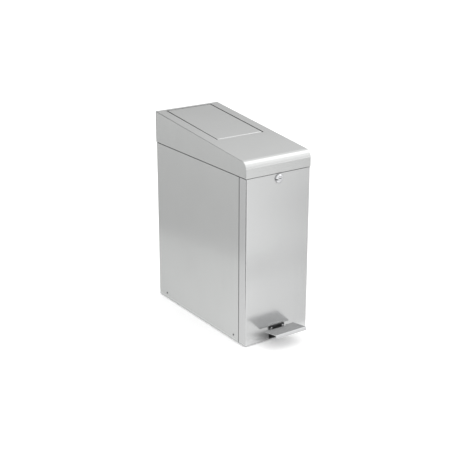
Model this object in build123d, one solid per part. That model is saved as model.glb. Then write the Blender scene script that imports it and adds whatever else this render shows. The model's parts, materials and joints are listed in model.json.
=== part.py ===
"""Pedal-operated sanitary bin in folded stainless sheet: casing, hood, flap lid, lock, pedal and container.

Millimetres. +Z is up, the front faces -Y, and the left side faces -X. The origin is on the floor, under
the middle of the whole outline, with the pedal and the rear hinges counted in.
"""

from build123d import *
import math
import os

os.makedirs("parts", exist_ok=True)

# Driving sizes of the outside
case_width = 200.0
case_depth = 424.0
hood_rear_height = 538.0
hood_fall = 45.0
hood_lip = 42.0
nose_radius = 20.0
pedal_reach = 66.0
foot_height = 2.0

# Sheet and folds
sheet = 1.0
fold_radius = 2.0
flange_width = 12.0
seam_gap = 1.2
side_seam_gap = 2.0
return_depth = 28.5
joggle_overlap = 14.0
joggle_lap = 6.0
weld_gap = 0.3
fit_gap = 0.05
running_gap = 0.06
seat_gap = 0.25
overrun = 5.0

# Base plate, feet and the rivets that hold the casing to it
base_flange = 26.0
foot_radius = 9.0
foot_side_inset = 20.0
foot_end_inset = 30.0
rivet_height = 16.5
rivet_front_inset = 52.0
rivet_rear_inset = 42.0
rivet_radius = 1.6
rivet_head_radius = 2.6
rivet_head_height = 0.8
rivet_tail_height = 1.2

# Notch in the front panel and the buffer strip over it
notch_width = 48.0
notch_height = 29.0
notch_corner = 3.0
strip_width = 48.0
strip_bottom = 27.0
strip_top = 39.5
strip_thickness = 3.0
strip_corner = 1.0
strip_screw_spacing = 36.0
strip_screw_height = 34.0
strip_screw_radius = 1.5
strip_screw_head_radius = 3.0
strip_screw_head_height = 1.6
strip_screw_length = 8.0
recess_width = 0.9
recess_depth = 0.8

# Pedal plate, in the plane of the bin's middle, seen from the side
pedal_sheet = 2.0
pedal_width = 96.0
pedal_lip_fold_height = 43.9
pedal_lip_end_height = 36.5
pedal_lip_lean = 25.0
pedal_rear_height = 35.3
pedal_rear_gap = 9.0
pedal_neck_fold = 15.0
pedal_neck_outer = 5.0
pedal_neck_inner = 45.0
pedal_neck_width = 42.0
pedal_slit = 2.5
pedal_bend = 2.5
pedal_corner = 1.5

# Lever and its pivot
pedal_angle = 5.0
lever_width = 24.0
lever_height = 16.0
lever_wall = 1.5
lever_front_gap = 25.0
lever_rear_margin = 14.0
pivot_height = 25.1
pivot_to_panel = 212.0
axle_radius = 4.0
axle_head_radius = 6.0
axle_head_height = 2.0
axle_end = 3.0
bush_wall = 1.5
bush_flange_radius = 7.5
bush_flange = 1.8
bracket_sheet = 2.0
bracket_length = 30.0
bracket_foot = 14.0
bracket_ear_radius = 9.0
bracket_rivet_radius = 2.0
bracket_rivet_head_radius = 3.4
bracket_rivet_head_height = 1.5
bracket_rivet_inset = 6.0
ring_thickness = 0.9
ring_width = 2.0
neck_screw_inner = 15.0
neck_screw_spacing = 11.0
neck_screw_radius = 2.0
neck_screw_head_radius = 3.8
neck_screw_head_height = 2.2
neck_screw_end = 1.0
neck_nut_size = 7.0
neck_nut_height = 3.0

# Push rod and its guides
rod_radius = 3.0
rod_cap_radius = 6.0
rod_cap_height = 10.0
rod_cap_roof = 3.0
rod_foot_radius = 5.0
rod_foot_height = 9.0
rod_foot_floor = 3.0
rod_foot_chamfer = 2.0
guide_sheet = 1.5
guide_width = 22.0
guide_height = 24.0
guide_lower = 112.0
guide_upper_drop = 27.0
guide_bend = 2.0
guide_bush_radius = 5.0
guide_bush_flange_radius = 6.6
guide_bush_flange = 1.5
guide_bush_length = 6.0
guide_edge = 8.0
guide_rivet_spacing = 12.0
guide_rivet_drop = 9.0

# Platform under the container
platform_height = 46.5
platform_sheet = 1.5
platform_side_gap = 4.0
platform_end_margin = 3.5
platform_tab_height = 8.0
platform_tab_length = 24.0
platform_tab_gap = 1.5
platform_tab_inset = 50.0

# Container and its bail
container_sheet = 1.0
container_side_gap = 23.0
container_front_gap = 46.0
container_rear_gap = 50.0
container_top_drop = 27.0
container_corner = 14.0
container_base_fold = 3.0
rim_overhang = 4.0
rim_height = 5.0
bail_radius = 2.5
bail_side_gap = 17.0
bail_bend = 9.0
bail_offset = 9.0
bail_end = 2.5
bail_drop = 9.0
ear_sheet = 1.5
ear_front = 12.0
ear_reach = 30.0
ear_height = 16.0
ear_ledge = 7.0
ear_rivet_spacing = 8.0
ear_rivet_shift = 22.0
ear_rivet_rise = 1.0

# Lid in the plane of the hood's top
lid_side_margin = 30.0
lid_length = 246.0
lid_rear_margin = 13.0
lid_gap = 2.0
lid_flange = 12.0
lid_front_fold = 4.5
lid_side_fold = 1.6
lid_open_angle = 70.0
lid_axis_inset = 6.0
lid_axis_depth = 6.0
lid_pin_radius = 2.0
lid_pin_end = 4.0
lid_bush_wall = 1.2
lid_bush_flange = 1.6
lid_bush_flange_radius = 4.6
lid_ring_thickness = 0.8
lid_ring_width = 1.8
stiffener_width = 30.0
stiffener_depth = 5.0
stiffener_margin = 20.0
stiffener_start = 46.0

# Crank under the lid
crank_pin_radius = 3.0
crank_gap = 15.0
crank_sheet = 1.5
crank_edge = 4.5
crank_foot = 12.0
crank_play = 0.4
crank_pin_end = 1.0

# Frame round the lid's opening
frame_flange = 11.0
frame_depth = 15.0
frame_rear_cover = 3.0
ledge_width = 13.0
lid_buffer_radius = 4.0
lid_buffer_spacing = 100.0
lid_buffer_inset = 7.0

# Rear hinges between casing and hood
hinge_pin_radius = 1.5
hinge_wall = 1.2
hinge_leaf = 1.0
hinge_leaf_height = 22.0
hinge_width = 50.0
hinge_side_inset = 45.0
hinge_middle_share = 0.4
hinge_clear = 0.4
hinge_side_gap = 0.3
hinge_rivet_spacing = 32.0
hinge_rivet_drop = 13.0
buffer_radius = 4.0
buffer_front_inset = 50.0
buffer_rear_inset = 60.0

# Lock under the hood's front edge
lock_drop = 13.0
lock_head_radius = 11.0
lock_head_height = 6.0
lock_head_chamfer = 1.5
lock_barrel_radius = 9.0
lock_barrel_length = 17.0
lock_core_radius = 6.0
lock_core_recess = 0.6
lock_nut_size = 22.0
lock_nut_height = 4.0
keyway_width = 1.4
keyway_length = 7.5
keyway_depth = 4.0
cam_width = 14.0
cam_length = 28.0
cam_sheet = 2.0
cam_gap = 1.0
cam_screw_radius = 2.0
cam_screw_head_radius = 3.5
cam_screw_head_height = 2.0
cam_screw_depth = 8.0
keeper_sheet = 2.0
keeper_width = 7.0
keeper_side_gap = 3.0
keeper_leg_gap = 2.0
keeper_leg_height = 5.0
keeper_leg_share = 0.55
keeper_pad_height = 16.0
keeper_pad_width = 24.0
keeper_shelf_rise = 5.0

# Places worked out from the sizes above
half_width = case_width / 2
inner_half = half_width - sheet
hood_front_height = hood_rear_height - hood_fall
seam_height = hood_front_height - hood_lip
lid_width = case_width - 2 * lid_side_margin
hinge_spacing = case_width - 2 * hinge_side_inset
knuckle_radius = hinge_pin_radius + running_gap + hinge_wall
hinge_reach = 2 * knuckle_radius + hinge_side_gap
outline_depth = pedal_reach + case_depth + hinge_reach
rear_y = outline_depth / 2 - hinge_reach
front_y = rear_y - case_depth
inner_front = front_y + sheet
inner_rear = rear_y - sheet
case_bottom = foot_height
base_top = case_bottom + sheet
case_top = seam_height - seam_gap / 2
hood_bottom = seam_height + seam_gap / 2
slope = math.atan2(hood_rear_height - hood_front_height, case_depth)
tray_end = front_y + return_depth - side_seam_gap / 2
wrap_front = front_y + return_depth + side_seam_gap / 2

hood_top = Plane(
    origin=(0, rear_y, hood_rear_height),
    x_dir=(1, 0, 0),
    z_dir=(0, -math.sin(slope), math.cos(slope)),
)
side_view = Plane.YZ

pivot = Vector(0, front_y + pivot_to_panel, pivot_height)
rest_tilt = math.radians(pedal_angle / 2)
lever_plane = Plane(
    origin=pivot,
    x_dir=(1, 0, 0),
    z_dir=(0, math.sin(rest_tilt), math.cos(rest_tilt)),
)

lid_axis_y = -(lid_rear_margin + lid_axis_inset)
lid_axis = hood_top.from_local_coords(Vector(0, lid_axis_y, -lid_axis_depth))
crank_start = math.radians(lid_open_angle / 2)
hinge_pin_y = rear_y + hinge_side_gap + knuckle_radius

# The rod stands under the middle of the crank pin's short forward and back travel.
rod_swing = 2 * math.tan(rest_tilt)


def crank_radius_for(arm):
    """Crank radius whose pin rises as far as a lever arm of this length lifts the rod."""
    return arm * rod_swing / (2 * math.sin(crank_start))


crank_mean_share = (1 + math.cos(crank_start)) / 2
rod_arm = (lid_axis.Y - pivot.Y) / (1 + crank_mean_share * rod_swing / (2 * math.sin(crank_start)))
crank_radius = crank_radius_for(rod_arm)
rod_y = pivot.Y + rod_arm
rod_travel = rod_arm * rod_swing
crank_pin_y = lid_axis.Y - crank_radius * math.cos(crank_start)
crank_pin_z = lid_axis.Z - crank_radius * math.sin(crank_start)
rod_top = crank_pin_z - crank_pin_radius - crank_play
lever_floor = -lever_height / 2 + lever_wall
rod_bottom = pivot.Z - rod_arm * math.tan(rest_tilt) + lever_floor / math.cos(rest_tilt) + seat_gap

lock_z = seam_height - lock_drop
guide_upper = seam_height - guide_upper_drop
cam_face_y = inner_front + lock_barrel_length + cam_gap
container_floor = platform_height + seat_gap
container_top = seam_height - container_top_drop
container_width = case_width - 2 * container_side_gap
bail_arm = container_width / 2 - bail_side_gap
container_front = front_y + container_front_gap
container_rear = rear_y - container_rear_gap
bail_z = container_top - bail_drop


def block(x_span, y_span, z_span):
    """Box between two values on each axis."""
    size = [span[1] - span[0] for span in (x_span, y_span, z_span)]
    middle = [(span[0] + span[1]) / 2 for span in (x_span, y_span, z_span)]
    return Pos(*middle) * Box(*size)


def bar(start, end, radius):
    """Round bar from one point to another."""
    start, end = Vector(*start), Vector(*end)
    run = end - start
    place = Plane(origin=start, z_dir=run)
    return place.location * Cylinder(radius, run.length, align=(Align.CENTER, Align.CENTER, Align.MIN))


def bar_x(left, right, y, z, radius):
    """Round bar along X."""
    return bar((left, y, z), (right, y, z), radius)


def bar_y(near, far, x, z, radius):
    """Round bar along Y."""
    return bar((x, near, z), (x, far, z), radius)


dome_share = 0.7


def dome(point, direction, radius, height):
    """Low rivet head: a bar with its outer edge rounded."""
    start = Vector(*point)
    end = start + Vector(*direction) * height
    head = bar(start, end, radius)
    rim = head.edges().filter_by(GeomType.CIRCLE).sort_by_distance(end)[0]
    return fillet(rim, height * dome_share)


def rivet(point, direction, grip, radius=rivet_radius, head=rivet_head_radius, height=rivet_head_height,
          tail=rivet_tail_height):
    """Rivet whose head stands at a point, with its shank going back through the grip to a formed tail."""
    point, direction = Vector(*point), Vector(*direction)
    back = point - direction * grip
    body = dome(point, direction, head, height) + bar(point, back, radius)
    if tail:
        body += bar(back, back - direction * tail, (radius + head) / 2)
    return body


def rivet_hole(point, direction, grip, radius=rivet_radius):
    """Cut for a rivet's shank."""
    point, direction = Vector(*point), Vector(*direction)
    return bar(point + direction * overrun, point - direction * (grip + overrun), radius + fit_gap)


def recess(point, direction, across, length):
    """Straight driver slot cut into a screw head."""
    point, direction, across = Vector(*point), Vector(*direction), Vector(*across)
    place = Plane(origin=point, x_dir=across, z_dir=direction)
    return place.location * Box(length, recess_width, 2 * recess_depth)


def folded_strip(points, bend, width, thickness):
    """Sheet of even thickness swept along a folded line in the side view, as wide as given along X."""
    path = FilletPolyline(*points, radius=bend)
    start = Plane(origin=path @ 0, x_dir=(1, 0, 0), z_dir=path % 0)
    return sweep(start * Rectangle(width, thickness), path=path)


def both_sides(shape):
    """A shape and its mirror image across the middle plane."""
    return [shape, mirror(shape, about=Plane.YZ)]


def vertical_edges(shape, corners, radius):
    """Fillet the vertical edges nearest to the given corner points."""
    upright = shape.edges().filter_by(Axis.Z)
    chosen = [min(upright, key=lambda edge: (edge @ 0.5 - Vector(x, y, (edge @ 0.5).Z)).length)
              for x, y in corners]
    return fillet(chosen, radius)


def save(name, *shapes):
    """Write one named piece, or one group of equal pieces, as a STEP file."""
    solids = [solid for shape in shapes for solid in shape.solids()]
    export_step(solids[0] if len(solids) == 1 else Compound(children=solids), f"parts/{name}.step")


def side_rivet_places():
    """Height and depth of the rivets that hold each casing side to the base plate."""
    return [(front_y + rivet_front_inset, rivet_height), (rear_y - rivet_rear_inset, rivet_height)]


def hinge_rivet_places(up):
    """X and Z of the hinge rivets on the casing (up = -1) or on the hood (up = 1)."""
    places = []
    for centre in (-hinge_spacing / 2, hinge_spacing / 2):
        for side in (-hinge_rivet_spacing / 2, hinge_rivet_spacing / 2):
            places.append((centre + side, seam_height + up * hinge_rivet_drop))
    return places


def guide_rivet_places():
    """X and Z of the rivets that hold the rod guides to the casing's back."""
    places = []
    for level in (guide_lower, guide_upper):
        for side in (-guide_rivet_spacing / 2, guide_rivet_spacing / 2):
            places.append((side, level - guide_rivet_drop))
    return places


def casing_wrap():
    """Two sides and the back in one sheet, with an inward top flange and joggled front edges."""
    outer = block((-half_width, half_width), (wrap_front, rear_y), (case_bottom, case_top))
    outer = vertical_edges(outer, [(-half_width, rear_y), (half_width, rear_y)], fold_radius)
    hollow = block((-inner_half, inner_half), (wrap_front - overrun, inner_rear),
                   (case_bottom - overrun, case_top - sheet))
    corners = [(-inner_half, inner_rear), (inner_half, inner_rear)]
    hollow = vertical_edges(hollow, corners, fold_radius - sheet)
    mouth_half = half_width - flange_width
    mouth = block((-mouth_half, mouth_half), (wrap_front - overrun, rear_y - flange_width),
                  (case_bottom, case_top + overrun))
    body = outer - hollow - mouth
    joggle = block((inner_half - sheet, inner_half),
                   (wrap_front - side_seam_gap - joggle_overlap, wrap_front + joggle_lap),
                   (base_top, case_top - sheet))
    for strip in both_sides(joggle):
        body += strip
    for y, z in side_rivet_places():
        body -= bar_x(-half_width - overrun, half_width + overrun, y, z, rivet_radius + fit_gap)
    for x, z in hinge_rivet_places(-1) + guide_rivet_places():
        body -= rivet_hole((x, rear_y, z), (0, 1, 0), sheet)
    return body


def front_panel():
    """Front tray: face, side returns and top flange, with the notch, the lock hole and the strip's holes."""
    outer = block((-half_width, half_width), (front_y, tray_end), (case_bottom, case_top))
    outer = vertical_edges(outer, [(-half_width, front_y), (half_width, front_y)], fold_radius)
    hollow = block((-inner_half, inner_half), (inner_front, tray_end + overrun),
                   (case_bottom - overrun, case_top - sheet))
    hollow = vertical_edges(hollow, [(-inner_half, inner_front), (inner_half, inner_front)],
                            fold_radius - sheet)
    behind = block((-inner_half, inner_half), (front_y + flange_width, tray_end + overrun),
                   (case_bottom, case_top + overrun))
    notch = block((-notch_width / 2, notch_width / 2), (front_y - overrun, inner_front + overrun),
                  (case_bottom - overrun, notch_height))
    top_corners = notch.edges().filter_by(Axis.Y).sort_by(Axis.Z)[-2:]
    notch = fillet(top_corners, notch_corner)
    body = outer - hollow - behind - notch
    body -= bar_y(front_y - overrun, inner_front + overrun, 0, lock_z, lock_barrel_radius + fit_gap)
    hole = strip_screw_radius + fit_gap
    for x in (-strip_screw_spacing / 2, strip_screw_spacing / 2):
        body -= bar_y(front_y - overrun, inner_front + overrun, x, strip_screw_height, hole)
    return body


def base_plate():
    """Floor sheet with flanges turned up inside the casing, riveted to its sides."""
    floor = block((-inner_half, inner_half), (inner_front, inner_rear), (case_bottom, base_top))
    corners = [(x, y) for x in (-inner_half, inner_half) for y in (inner_front, inner_rear)]
    floor = vertical_edges(floor, corners, fold_radius)
    flange_top = case_bottom + base_flange
    side = block((inner_half - sheet, inner_half),
                 (wrap_front + joggle_lap + weld_gap, inner_rear - fold_radius), (case_bottom, flange_top))
    rear = block((-inner_half + fold_radius, inner_half - fold_radius), (inner_rear - sheet, inner_rear),
                 (case_bottom, flange_top))
    front = block((notch_width / 2 + lid_gap, inner_half - fold_radius), (inner_front, inner_front + sheet),
                  (case_bottom, flange_top))
    body = floor + rear
    for flange in both_sides(side) + both_sides(front):
        body += flange
    for y, z in side_rivet_places():
        body -= bar_x(-half_width, half_width, y, z, rivet_radius + fit_gap)
    for x, y in bracket_rivet_places():
        body -= rivet_hole((x, y, base_top), (0, 0, 1), sheet, bracket_rivet_radius)
    return body


def side_rivets():
    """Blind rivets low on each side of the casing."""
    found = []
    for y, z in side_rivet_places():
        found += both_sides(rivet((-half_width, y, z), (-1, 0, 0), 2 * sheet))
    return found


def rubber_feet():
    """Four discs under the base plate."""
    found = []
    for y in (front_y + foot_end_inset, rear_y - foot_end_inset):
        x = half_width - foot_side_inset
        found += both_sides(bar((x, y, 0), (x, y, foot_height), foot_radius))
    return found


def buffer_strip():
    """Rubber strip over the notch, which stops the pedal's neck."""
    body = block((-strip_width / 2, strip_width / 2), (front_y - strip_thickness, front_y),
                 (strip_bottom, strip_top))
    body = fillet(body.faces().sort_by(Axis.Y)[0].edges(), strip_corner)
    hole = strip_screw_radius + fit_gap
    for x in (-strip_screw_spacing / 2, strip_screw_spacing / 2):
        body -= bar_y(front_y - overrun, front_y + overrun, x, strip_screw_height, hole)
    return body


def strip_screws():
    """Two pan head screws through the buffer strip and the front panel."""
    found = []
    face = front_y - strip_thickness
    for x in (-strip_screw_spacing / 2, strip_screw_spacing / 2):
        seat = (x, face, strip_screw_height)
        screw = dome(seat, (0, -1, 0), strip_screw_head_radius, strip_screw_head_height)
        screw += bar_y(face, face + strip_screw_length, x, strip_screw_height, strip_screw_radius)
        tip = (x, face - strip_screw_head_height, strip_screw_height)
        for across in ((1, 0, 0), (0, 0, 1)):
            screw -= recess(tip, (0, -1, 0), across, strip_screw_head_radius)
        found.append(screw)
    return found


def pedal_line():
    """Middle line of the pedal's sheet: neck, joggle, plate and lip."""
    lean = math.radians(pedal_lip_lean)
    neck_z = -lever_height / 2 - pedal_sheet / 2
    inner = lever_plane.from_local_coords(Vector(0, -(pivot_to_panel - pedal_neck_inner), neck_z))
    outer = lever_plane.from_local_coords(Vector(0, -(pivot_to_panel + pedal_neck_outer), neck_z))
    tip_out = pedal_reach - math.cos(lean) * pedal_sheet / 2
    fold_out = tip_out - (pedal_lip_fold_height - pedal_lip_end_height) * math.tan(lean)
    rise = (pedal_lip_fold_height - pedal_rear_height) / (fold_out - pedal_rear_gap)
    crest_z = pedal_rear_height + rise * (pedal_neck_fold - pedal_rear_gap)
    crest = Vector(0, front_y - pedal_neck_fold, crest_z)
    rear = Vector(0, front_y - pedal_rear_gap, pedal_rear_height)
    fold = Vector(0, front_y - fold_out, pedal_lip_fold_height)
    tip = Vector(0, front_y - tip_out, pedal_lip_end_height)
    return inner, outer, crest, rear, fold, tip


upright_share = 0.1


def pedal_plate():
    """Foot plate with a folded lip and a joggled neck that runs in under the buffer strip."""
    inner, outer, crest, rear, fold, tip = pedal_line()
    plate = folded_strip([rear, fold, tip], pedal_bend, pedal_width, pedal_sheet)
    corners = plate.edges().filter_by(lambda edge: abs((edge % 0.5).X) < upright_share)
    ends = [edge for edge in corners if edge.length < pedal_sheet + fit_gap
            and abs(abs((edge @ 0.5).X) - pedal_width / 2) < fit_gap]
    plate = fillet(ends, pedal_corner)
    slit_half = pedal_neck_width / 2 + pedal_slit
    gap = block((-slit_half, slit_half), (crest.Y - fit_gap, front_y), (0, seam_height))
    neck = folded_strip([inner, outer, crest, fold], pedal_bend, pedal_neck_width, pedal_sheet)
    keep = block((-slit_half, slit_half), (fold.Y / 2 + crest.Y / 2, pivot.Y), (0, seam_height))
    body = plate - gap + (neck & keep)
    for place in neck_screw_places():
        hole = bar((0, place, -lever_height), (0, place, 0), neck_screw_radius + fit_gap)
        body -= lever_plane.location * hole
    return body


def neck_screw_places():
    """Places along the lever of the two screws that hold the neck."""
    first = -(pivot_to_panel - pedal_neck_inner) - neck_screw_inner / 2
    return [first, first - neck_screw_spacing]


def pedal_lever():
    """Folded channel from the neck to under the push rod, with the holes of the pivot bushes."""
    half = lever_width / 2
    front = -(pivot_to_panel - lever_front_gap)
    rear = rod_arm + lever_rear_margin
    outer = block((-half, half), (front, rear), (-lever_height / 2, lever_height / 2))
    hollow = block((-half + lever_wall, half - lever_wall), (front - overrun, rear + overrun),
                   (lever_floor, lever_height))
    body = outer - hollow
    body -= bar((-lever_width, 0, 0), (lever_width, 0, 0), axle_radius + running_gap + bush_wall + fit_gap)
    for place in neck_screw_places():
        body -= bar((0, place, -lever_height), (0, place, 0), neck_screw_radius + fit_gap)
    return lever_plane.location * body


def neck_screws():
    """Two low screws from below through the neck and the lever's floor."""
    found = []
    under = -lever_height / 2 - pedal_sheet
    top = lever_floor + neck_nut_height + neck_screw_end
    for place in neck_screw_places():
        screw = dome((0, place, under), (0, 0, -1), neck_screw_head_radius, neck_screw_head_height)
        screw += bar((0, place, under), (0, place, top), neck_screw_radius)
        found.append(lever_plane.location * screw)
    return found


def hex_nut(centre, across, height, bore):
    """Nut standing on a point, along +Z."""
    body = extrude(RegularPolygon(across / 2, 6, major_radius=False), height)
    return Pos(*centre) * (body - bar((0, 0, -overrun), (0, 0, height + overrun), bore))


def neck_nuts():
    """Nuts of the neck's screws, inside the lever's channel."""
    return [lever_plane.location * hex_nut((0, place, lever_floor), neck_nut_size, neck_nut_height,
                                           neck_screw_radius + fit_gap) for place in neck_screw_places()]


def lever_bushes():
    """Flanged bushes in the lever's walls, which run on the axle."""
    half = lever_width / 2
    body = bar((half - lever_wall, 0, 0), (half, 0, 0), axle_radius + running_gap + bush_wall)
    body += bar((half, 0, 0), (half + bush_flange, 0, 0), bush_flange_radius)
    body -= bar((0, 0, 0), (lever_width, 0, 0), axle_radius + running_gap)
    return [lever_plane.location * bush for bush in both_sides(body)]


ear_inner = lever_width / 2 + bush_flange + weld_gap


def bracket_rivet_places():
    """X and Y of the rivets through the pivot bracket's foot."""
    x = ear_inner + bracket_sheet + bracket_foot - bracket_rivet_inset
    y = bracket_length / 2 - bracket_rivet_inset
    return [(side * x, pivot.Y + end * y) for side in (-1, 1) for end in (-1, 1)]


def pivot_bracket():
    """Folded bracket with a foot each side and two ears that hold the axle."""
    length = (pivot.Y - bracket_length / 2, pivot.Y + bracket_length / 2)
    reach = ear_inner + bracket_sheet + bracket_foot
    body = block((-reach, reach), length, (base_top, base_top + bracket_sheet))
    ear_top = bar((ear_inner, pivot.Y, pivot.Z), (ear_inner + bracket_sheet, pivot.Y, pivot.Z),
                  bracket_ear_radius)
    ear_foot = block((ear_inner, ear_inner + bracket_sheet),
                     (pivot.Y - bracket_ear_radius, pivot.Y + bracket_ear_radius), (base_top, pivot.Z))
    for ear in both_sides(ear_top + ear_foot):
        body += ear
    body -= bar((-reach, pivot.Y, pivot.Z), (reach, pivot.Y, pivot.Z), axle_radius + fit_gap)
    for x, y in bracket_rivet_places():
        body -= rivet_hole((x, y, base_top), (0, 0, 1), sheet, bracket_rivet_radius)
    return body


def bracket_rivets():
    """Rivets that hold the pivot bracket to the base plate."""
    return [rivet((x, y, base_top + bracket_sheet), (0, 0, 1), bracket_sheet + sheet, bracket_rivet_radius,
                  bracket_rivet_head_radius, bracket_rivet_head_height, 0) for x, y in bracket_rivet_places()]


def pedal_axle():
    """Headed axle through both ears, with a groove for its ring."""
    outer = ear_inner + bracket_sheet
    end = outer + fit_gap + ring_thickness + axle_end
    body = bar((-outer, pivot.Y, pivot.Z), (end, pivot.Y, pivot.Z), axle_radius)
    body += bar((-outer, pivot.Y, pivot.Z), (-outer - axle_head_height, pivot.Y, pivot.Z), axle_head_radius)
    groove = bar((outer, pivot.Y, pivot.Z), (outer + ring_thickness + 2 * fit_gap, pivot.Y, pivot.Z),
                 axle_radius + overrun)
    core = bar((outer, pivot.Y, pivot.Z), (end, pivot.Y, pivot.Z), axle_radius - ring_thickness)
    return body - groove + core


def retaining_ring(centre, shaft, thickness, width):
    """Open ring in a shaft's groove, square to X, with its gap at the top."""
    start = Vector(*centre)
    end = start + Vector(thickness, 0, 0)
    body = bar(start, end, shaft + width) - bar(start, end, shaft - thickness + fit_gap)
    gap = block((start.X, end.X), (start.Y - thickness, start.Y + thickness),
                (start.Z, start.Z + shaft + width + overrun))
    return body - gap


def axle_ring():
    """Ring that keeps the pedal's axle in its bracket."""
    x = ear_inner + bracket_sheet + fit_gap
    return retaining_ring((x, pivot.Y, pivot.Z), axle_radius, ring_thickness, ring_width)


def rod_guides():
    """Two angle brackets on the casing's back that carry the rod's bushes."""
    found = []
    wall = inner_rear - guide_sheet / 2
    for level in (guide_lower, guide_upper):
        points = [(0, wall, level - guide_height), (0, wall, level), (0, rod_y - guide_edge, level)]
        body = folded_strip(points, guide_bend, guide_width, guide_sheet)
        body -= bar((0, rod_y, level - overrun), (0, rod_y, level + overrun), guide_bush_radius + fit_gap)
        for x, z in guide_rivet_places():
            body -= rivet_hole((x, rear_y, z), (0, 1, 0), sheet + guide_sheet)
        found.append(body)
    return found


def guide_rivets():
    """Rivets of the rod guides, with their heads on the casing's back."""
    return [rivet((x, rear_y, z), (0, 1, 0), sheet + guide_sheet) for x, z in guide_rivet_places()]


def guide_bushes():
    """Flanged plastic bushes in which the rod slides."""
    found = []
    for level in (guide_lower, guide_upper):
        seat = level + guide_sheet / 2
        body = bar((0, rod_y, seat - guide_bush_length), (0, rod_y, seat), guide_bush_radius)
        body += bar((0, rod_y, seat), (0, rod_y, seat + guide_bush_flange), guide_bush_flange_radius)
        body -= bar((0, rod_y, seat - guide_bush_length), (0, rod_y, seat + guide_bush_flange),
                    rod_radius + running_gap)
        found.append(body)
    return found


def push_rod():
    """Round rod from the lever's rear end up to the crank."""
    return bar((0, rod_y, rod_bottom + rod_foot_floor), (0, rod_y, rod_top - rod_cap_roof), rod_radius)


def rod_foot():
    """Plastic foot on the rod's lower end, which stands on the lever's floor."""
    body = bar((0, rod_y, rod_bottom), (0, rod_y, rod_bottom + rod_foot_height), rod_foot_radius)
    lower = body.edges().filter_by(GeomType.CIRCLE).sort_by(Axis.Z)[0]
    body = chamfer(lower, rod_foot_chamfer)
    return body - bar((0, rod_y, rod_bottom + rod_foot_floor), (0, rod_y, rod_bottom + rod_foot_height),
                      rod_radius + fit_gap)


def rod_cap():
    """Plastic cap on the rod's upper end, under the crank pin."""
    body = bar((0, rod_y, rod_top - rod_cap_height), (0, rod_y, rod_top), rod_cap_radius)
    body = fillet(body.edges().filter_by(GeomType.CIRCLE).sort_by(Axis.Z)[-1], rod_cap_roof / 3)
    return body - bar((0, rod_y, rod_top - rod_cap_height), (0, rod_y, rod_top - rod_cap_roof),
                      rod_radius + fit_gap)


def container_platform():
    """Bridge over the lever on which the container stands, with small tabs that keep it in place."""
    half = inner_half - platform_side_gap
    start = container_front - platform_end_margin
    end = container_rear + platform_end_margin
    outer = block((-half, half), (start, end), (base_top, platform_height))
    folds = outer.edges().filter_by(Axis.Y).sort_by(Axis.Z)[-2:]
    outer = fillet(folds, fold_radius)
    tunnel = block((-half + platform_sheet, half - platform_sheet), (start - overrun, end + overrun),
                   (base_top - overrun, platform_height - platform_sheet))
    tunnel = fillet(tunnel.edges().filter_by(Axis.Y).sort_by(Axis.Z)[-2:], fold_radius - platform_sheet)
    body = outer - tunnel
    near = container_width / 2 + platform_tab_gap
    half_tab = platform_tab_length / 2
    tab_span = (platform_height - platform_sheet, platform_height + platform_tab_height)
    for centre in (start + platform_tab_inset, end - platform_tab_inset):
        tab = block((near, near + platform_sheet), (centre - half_tab, centre + half_tab), tab_span)
        for piece in both_sides(tab):
            body += piece
    for edge in ((start, start + platform_sheet), (end - platform_sheet, end)):
        body += block((-platform_tab_length, platform_tab_length), edge, tab_span)
    return body


def container_prism(side, near, far, low, high, corner):
    """Upright prism with rounded corners, as wide each side of the middle as given."""
    plan = Pos(0, (near + far) / 2) * RectangleRounded(2 * side, far - near, corner)
    return Pos(0, 0, low) * extrude(plan, high - low)


def waste_container():
    """Open folded tub with an outward rim."""
    side = container_width / 2
    outer = container_prism(side, container_front, container_rear, container_floor, container_top,
                            container_corner)
    outer = fillet(outer.faces().sort_by(Axis.Z)[0].edges(), container_base_fold)
    inner = container_prism(side - container_sheet, container_front + container_sheet,
                            container_rear - container_sheet, container_floor + container_sheet,
                            container_top + overrun, container_corner - container_sheet)
    inner = fillet(inner.faces().sort_by(Axis.Z)[0].edges(), container_base_fold - container_sheet)
    rim = container_prism(side + rim_overhang, container_front - rim_overhang, container_rear + rim_overhang,
                          container_top - rim_height, container_top, container_corner + rim_overhang)
    under = container_prism(side + rim_overhang - container_sheet,
                            container_front - rim_overhang + container_sheet,
                            container_rear + rim_overhang - container_sheet,
                            container_top - rim_height - overrun, container_top - container_sheet,
                            container_corner + rim_overhang - container_sheet)
    body = outer + (rim - under) - inner
    through = (container_front - overrun, container_rear + overrun)
    body -= bar_y(*through, 0, bail_z, bail_radius + running_gap)
    for x, z in ear_rivet_places():
        body -= bar_y(*through, x, z, rivet_radius + fit_gap)
    return body


def ear_rivet_places():
    """X and Z of the rivets of the bail's ears."""
    return [(-ear_rivet_shift + side, bail_z + ear_rivet_rise)
            for side in (-ear_rivet_spacing / 2, ear_rivet_spacing / 2)]


def end_walls():
    """Inner face and inward direction of the container's front and rear walls."""
    return [(container_front + container_sheet, 1), (container_rear - container_sheet, -1)]


def bail_ears():
    """Riveted ears in which the bail turns, each with a ledge under the lowered bail's arm."""
    found = []
    for wall, inward in end_walls():
        face = wall + inward * ear_sheet
        tip = face + inward * (bail_offset + bail_radius)
        body = block((-ear_reach, ear_front), sorted((wall, face)),
                     (bail_z - ear_height / 2, bail_z + ear_height / 2))
        ledge_top = bail_z - bail_radius - seat_gap
        ledge = (ledge_top - ear_sheet, ledge_top)
        body += block((-ear_reach, -ear_reach + ear_ledge), sorted((wall, tip)), ledge)
        body -= bar_y(wall - overrun, wall + overrun, 0, bail_z, bail_radius + running_gap)
        for x, z in ear_rivet_places():
            body -= bar_y(wall - overrun, wall + overrun, x, z, rivet_radius + fit_gap)
        found.append(body)
    return found


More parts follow.
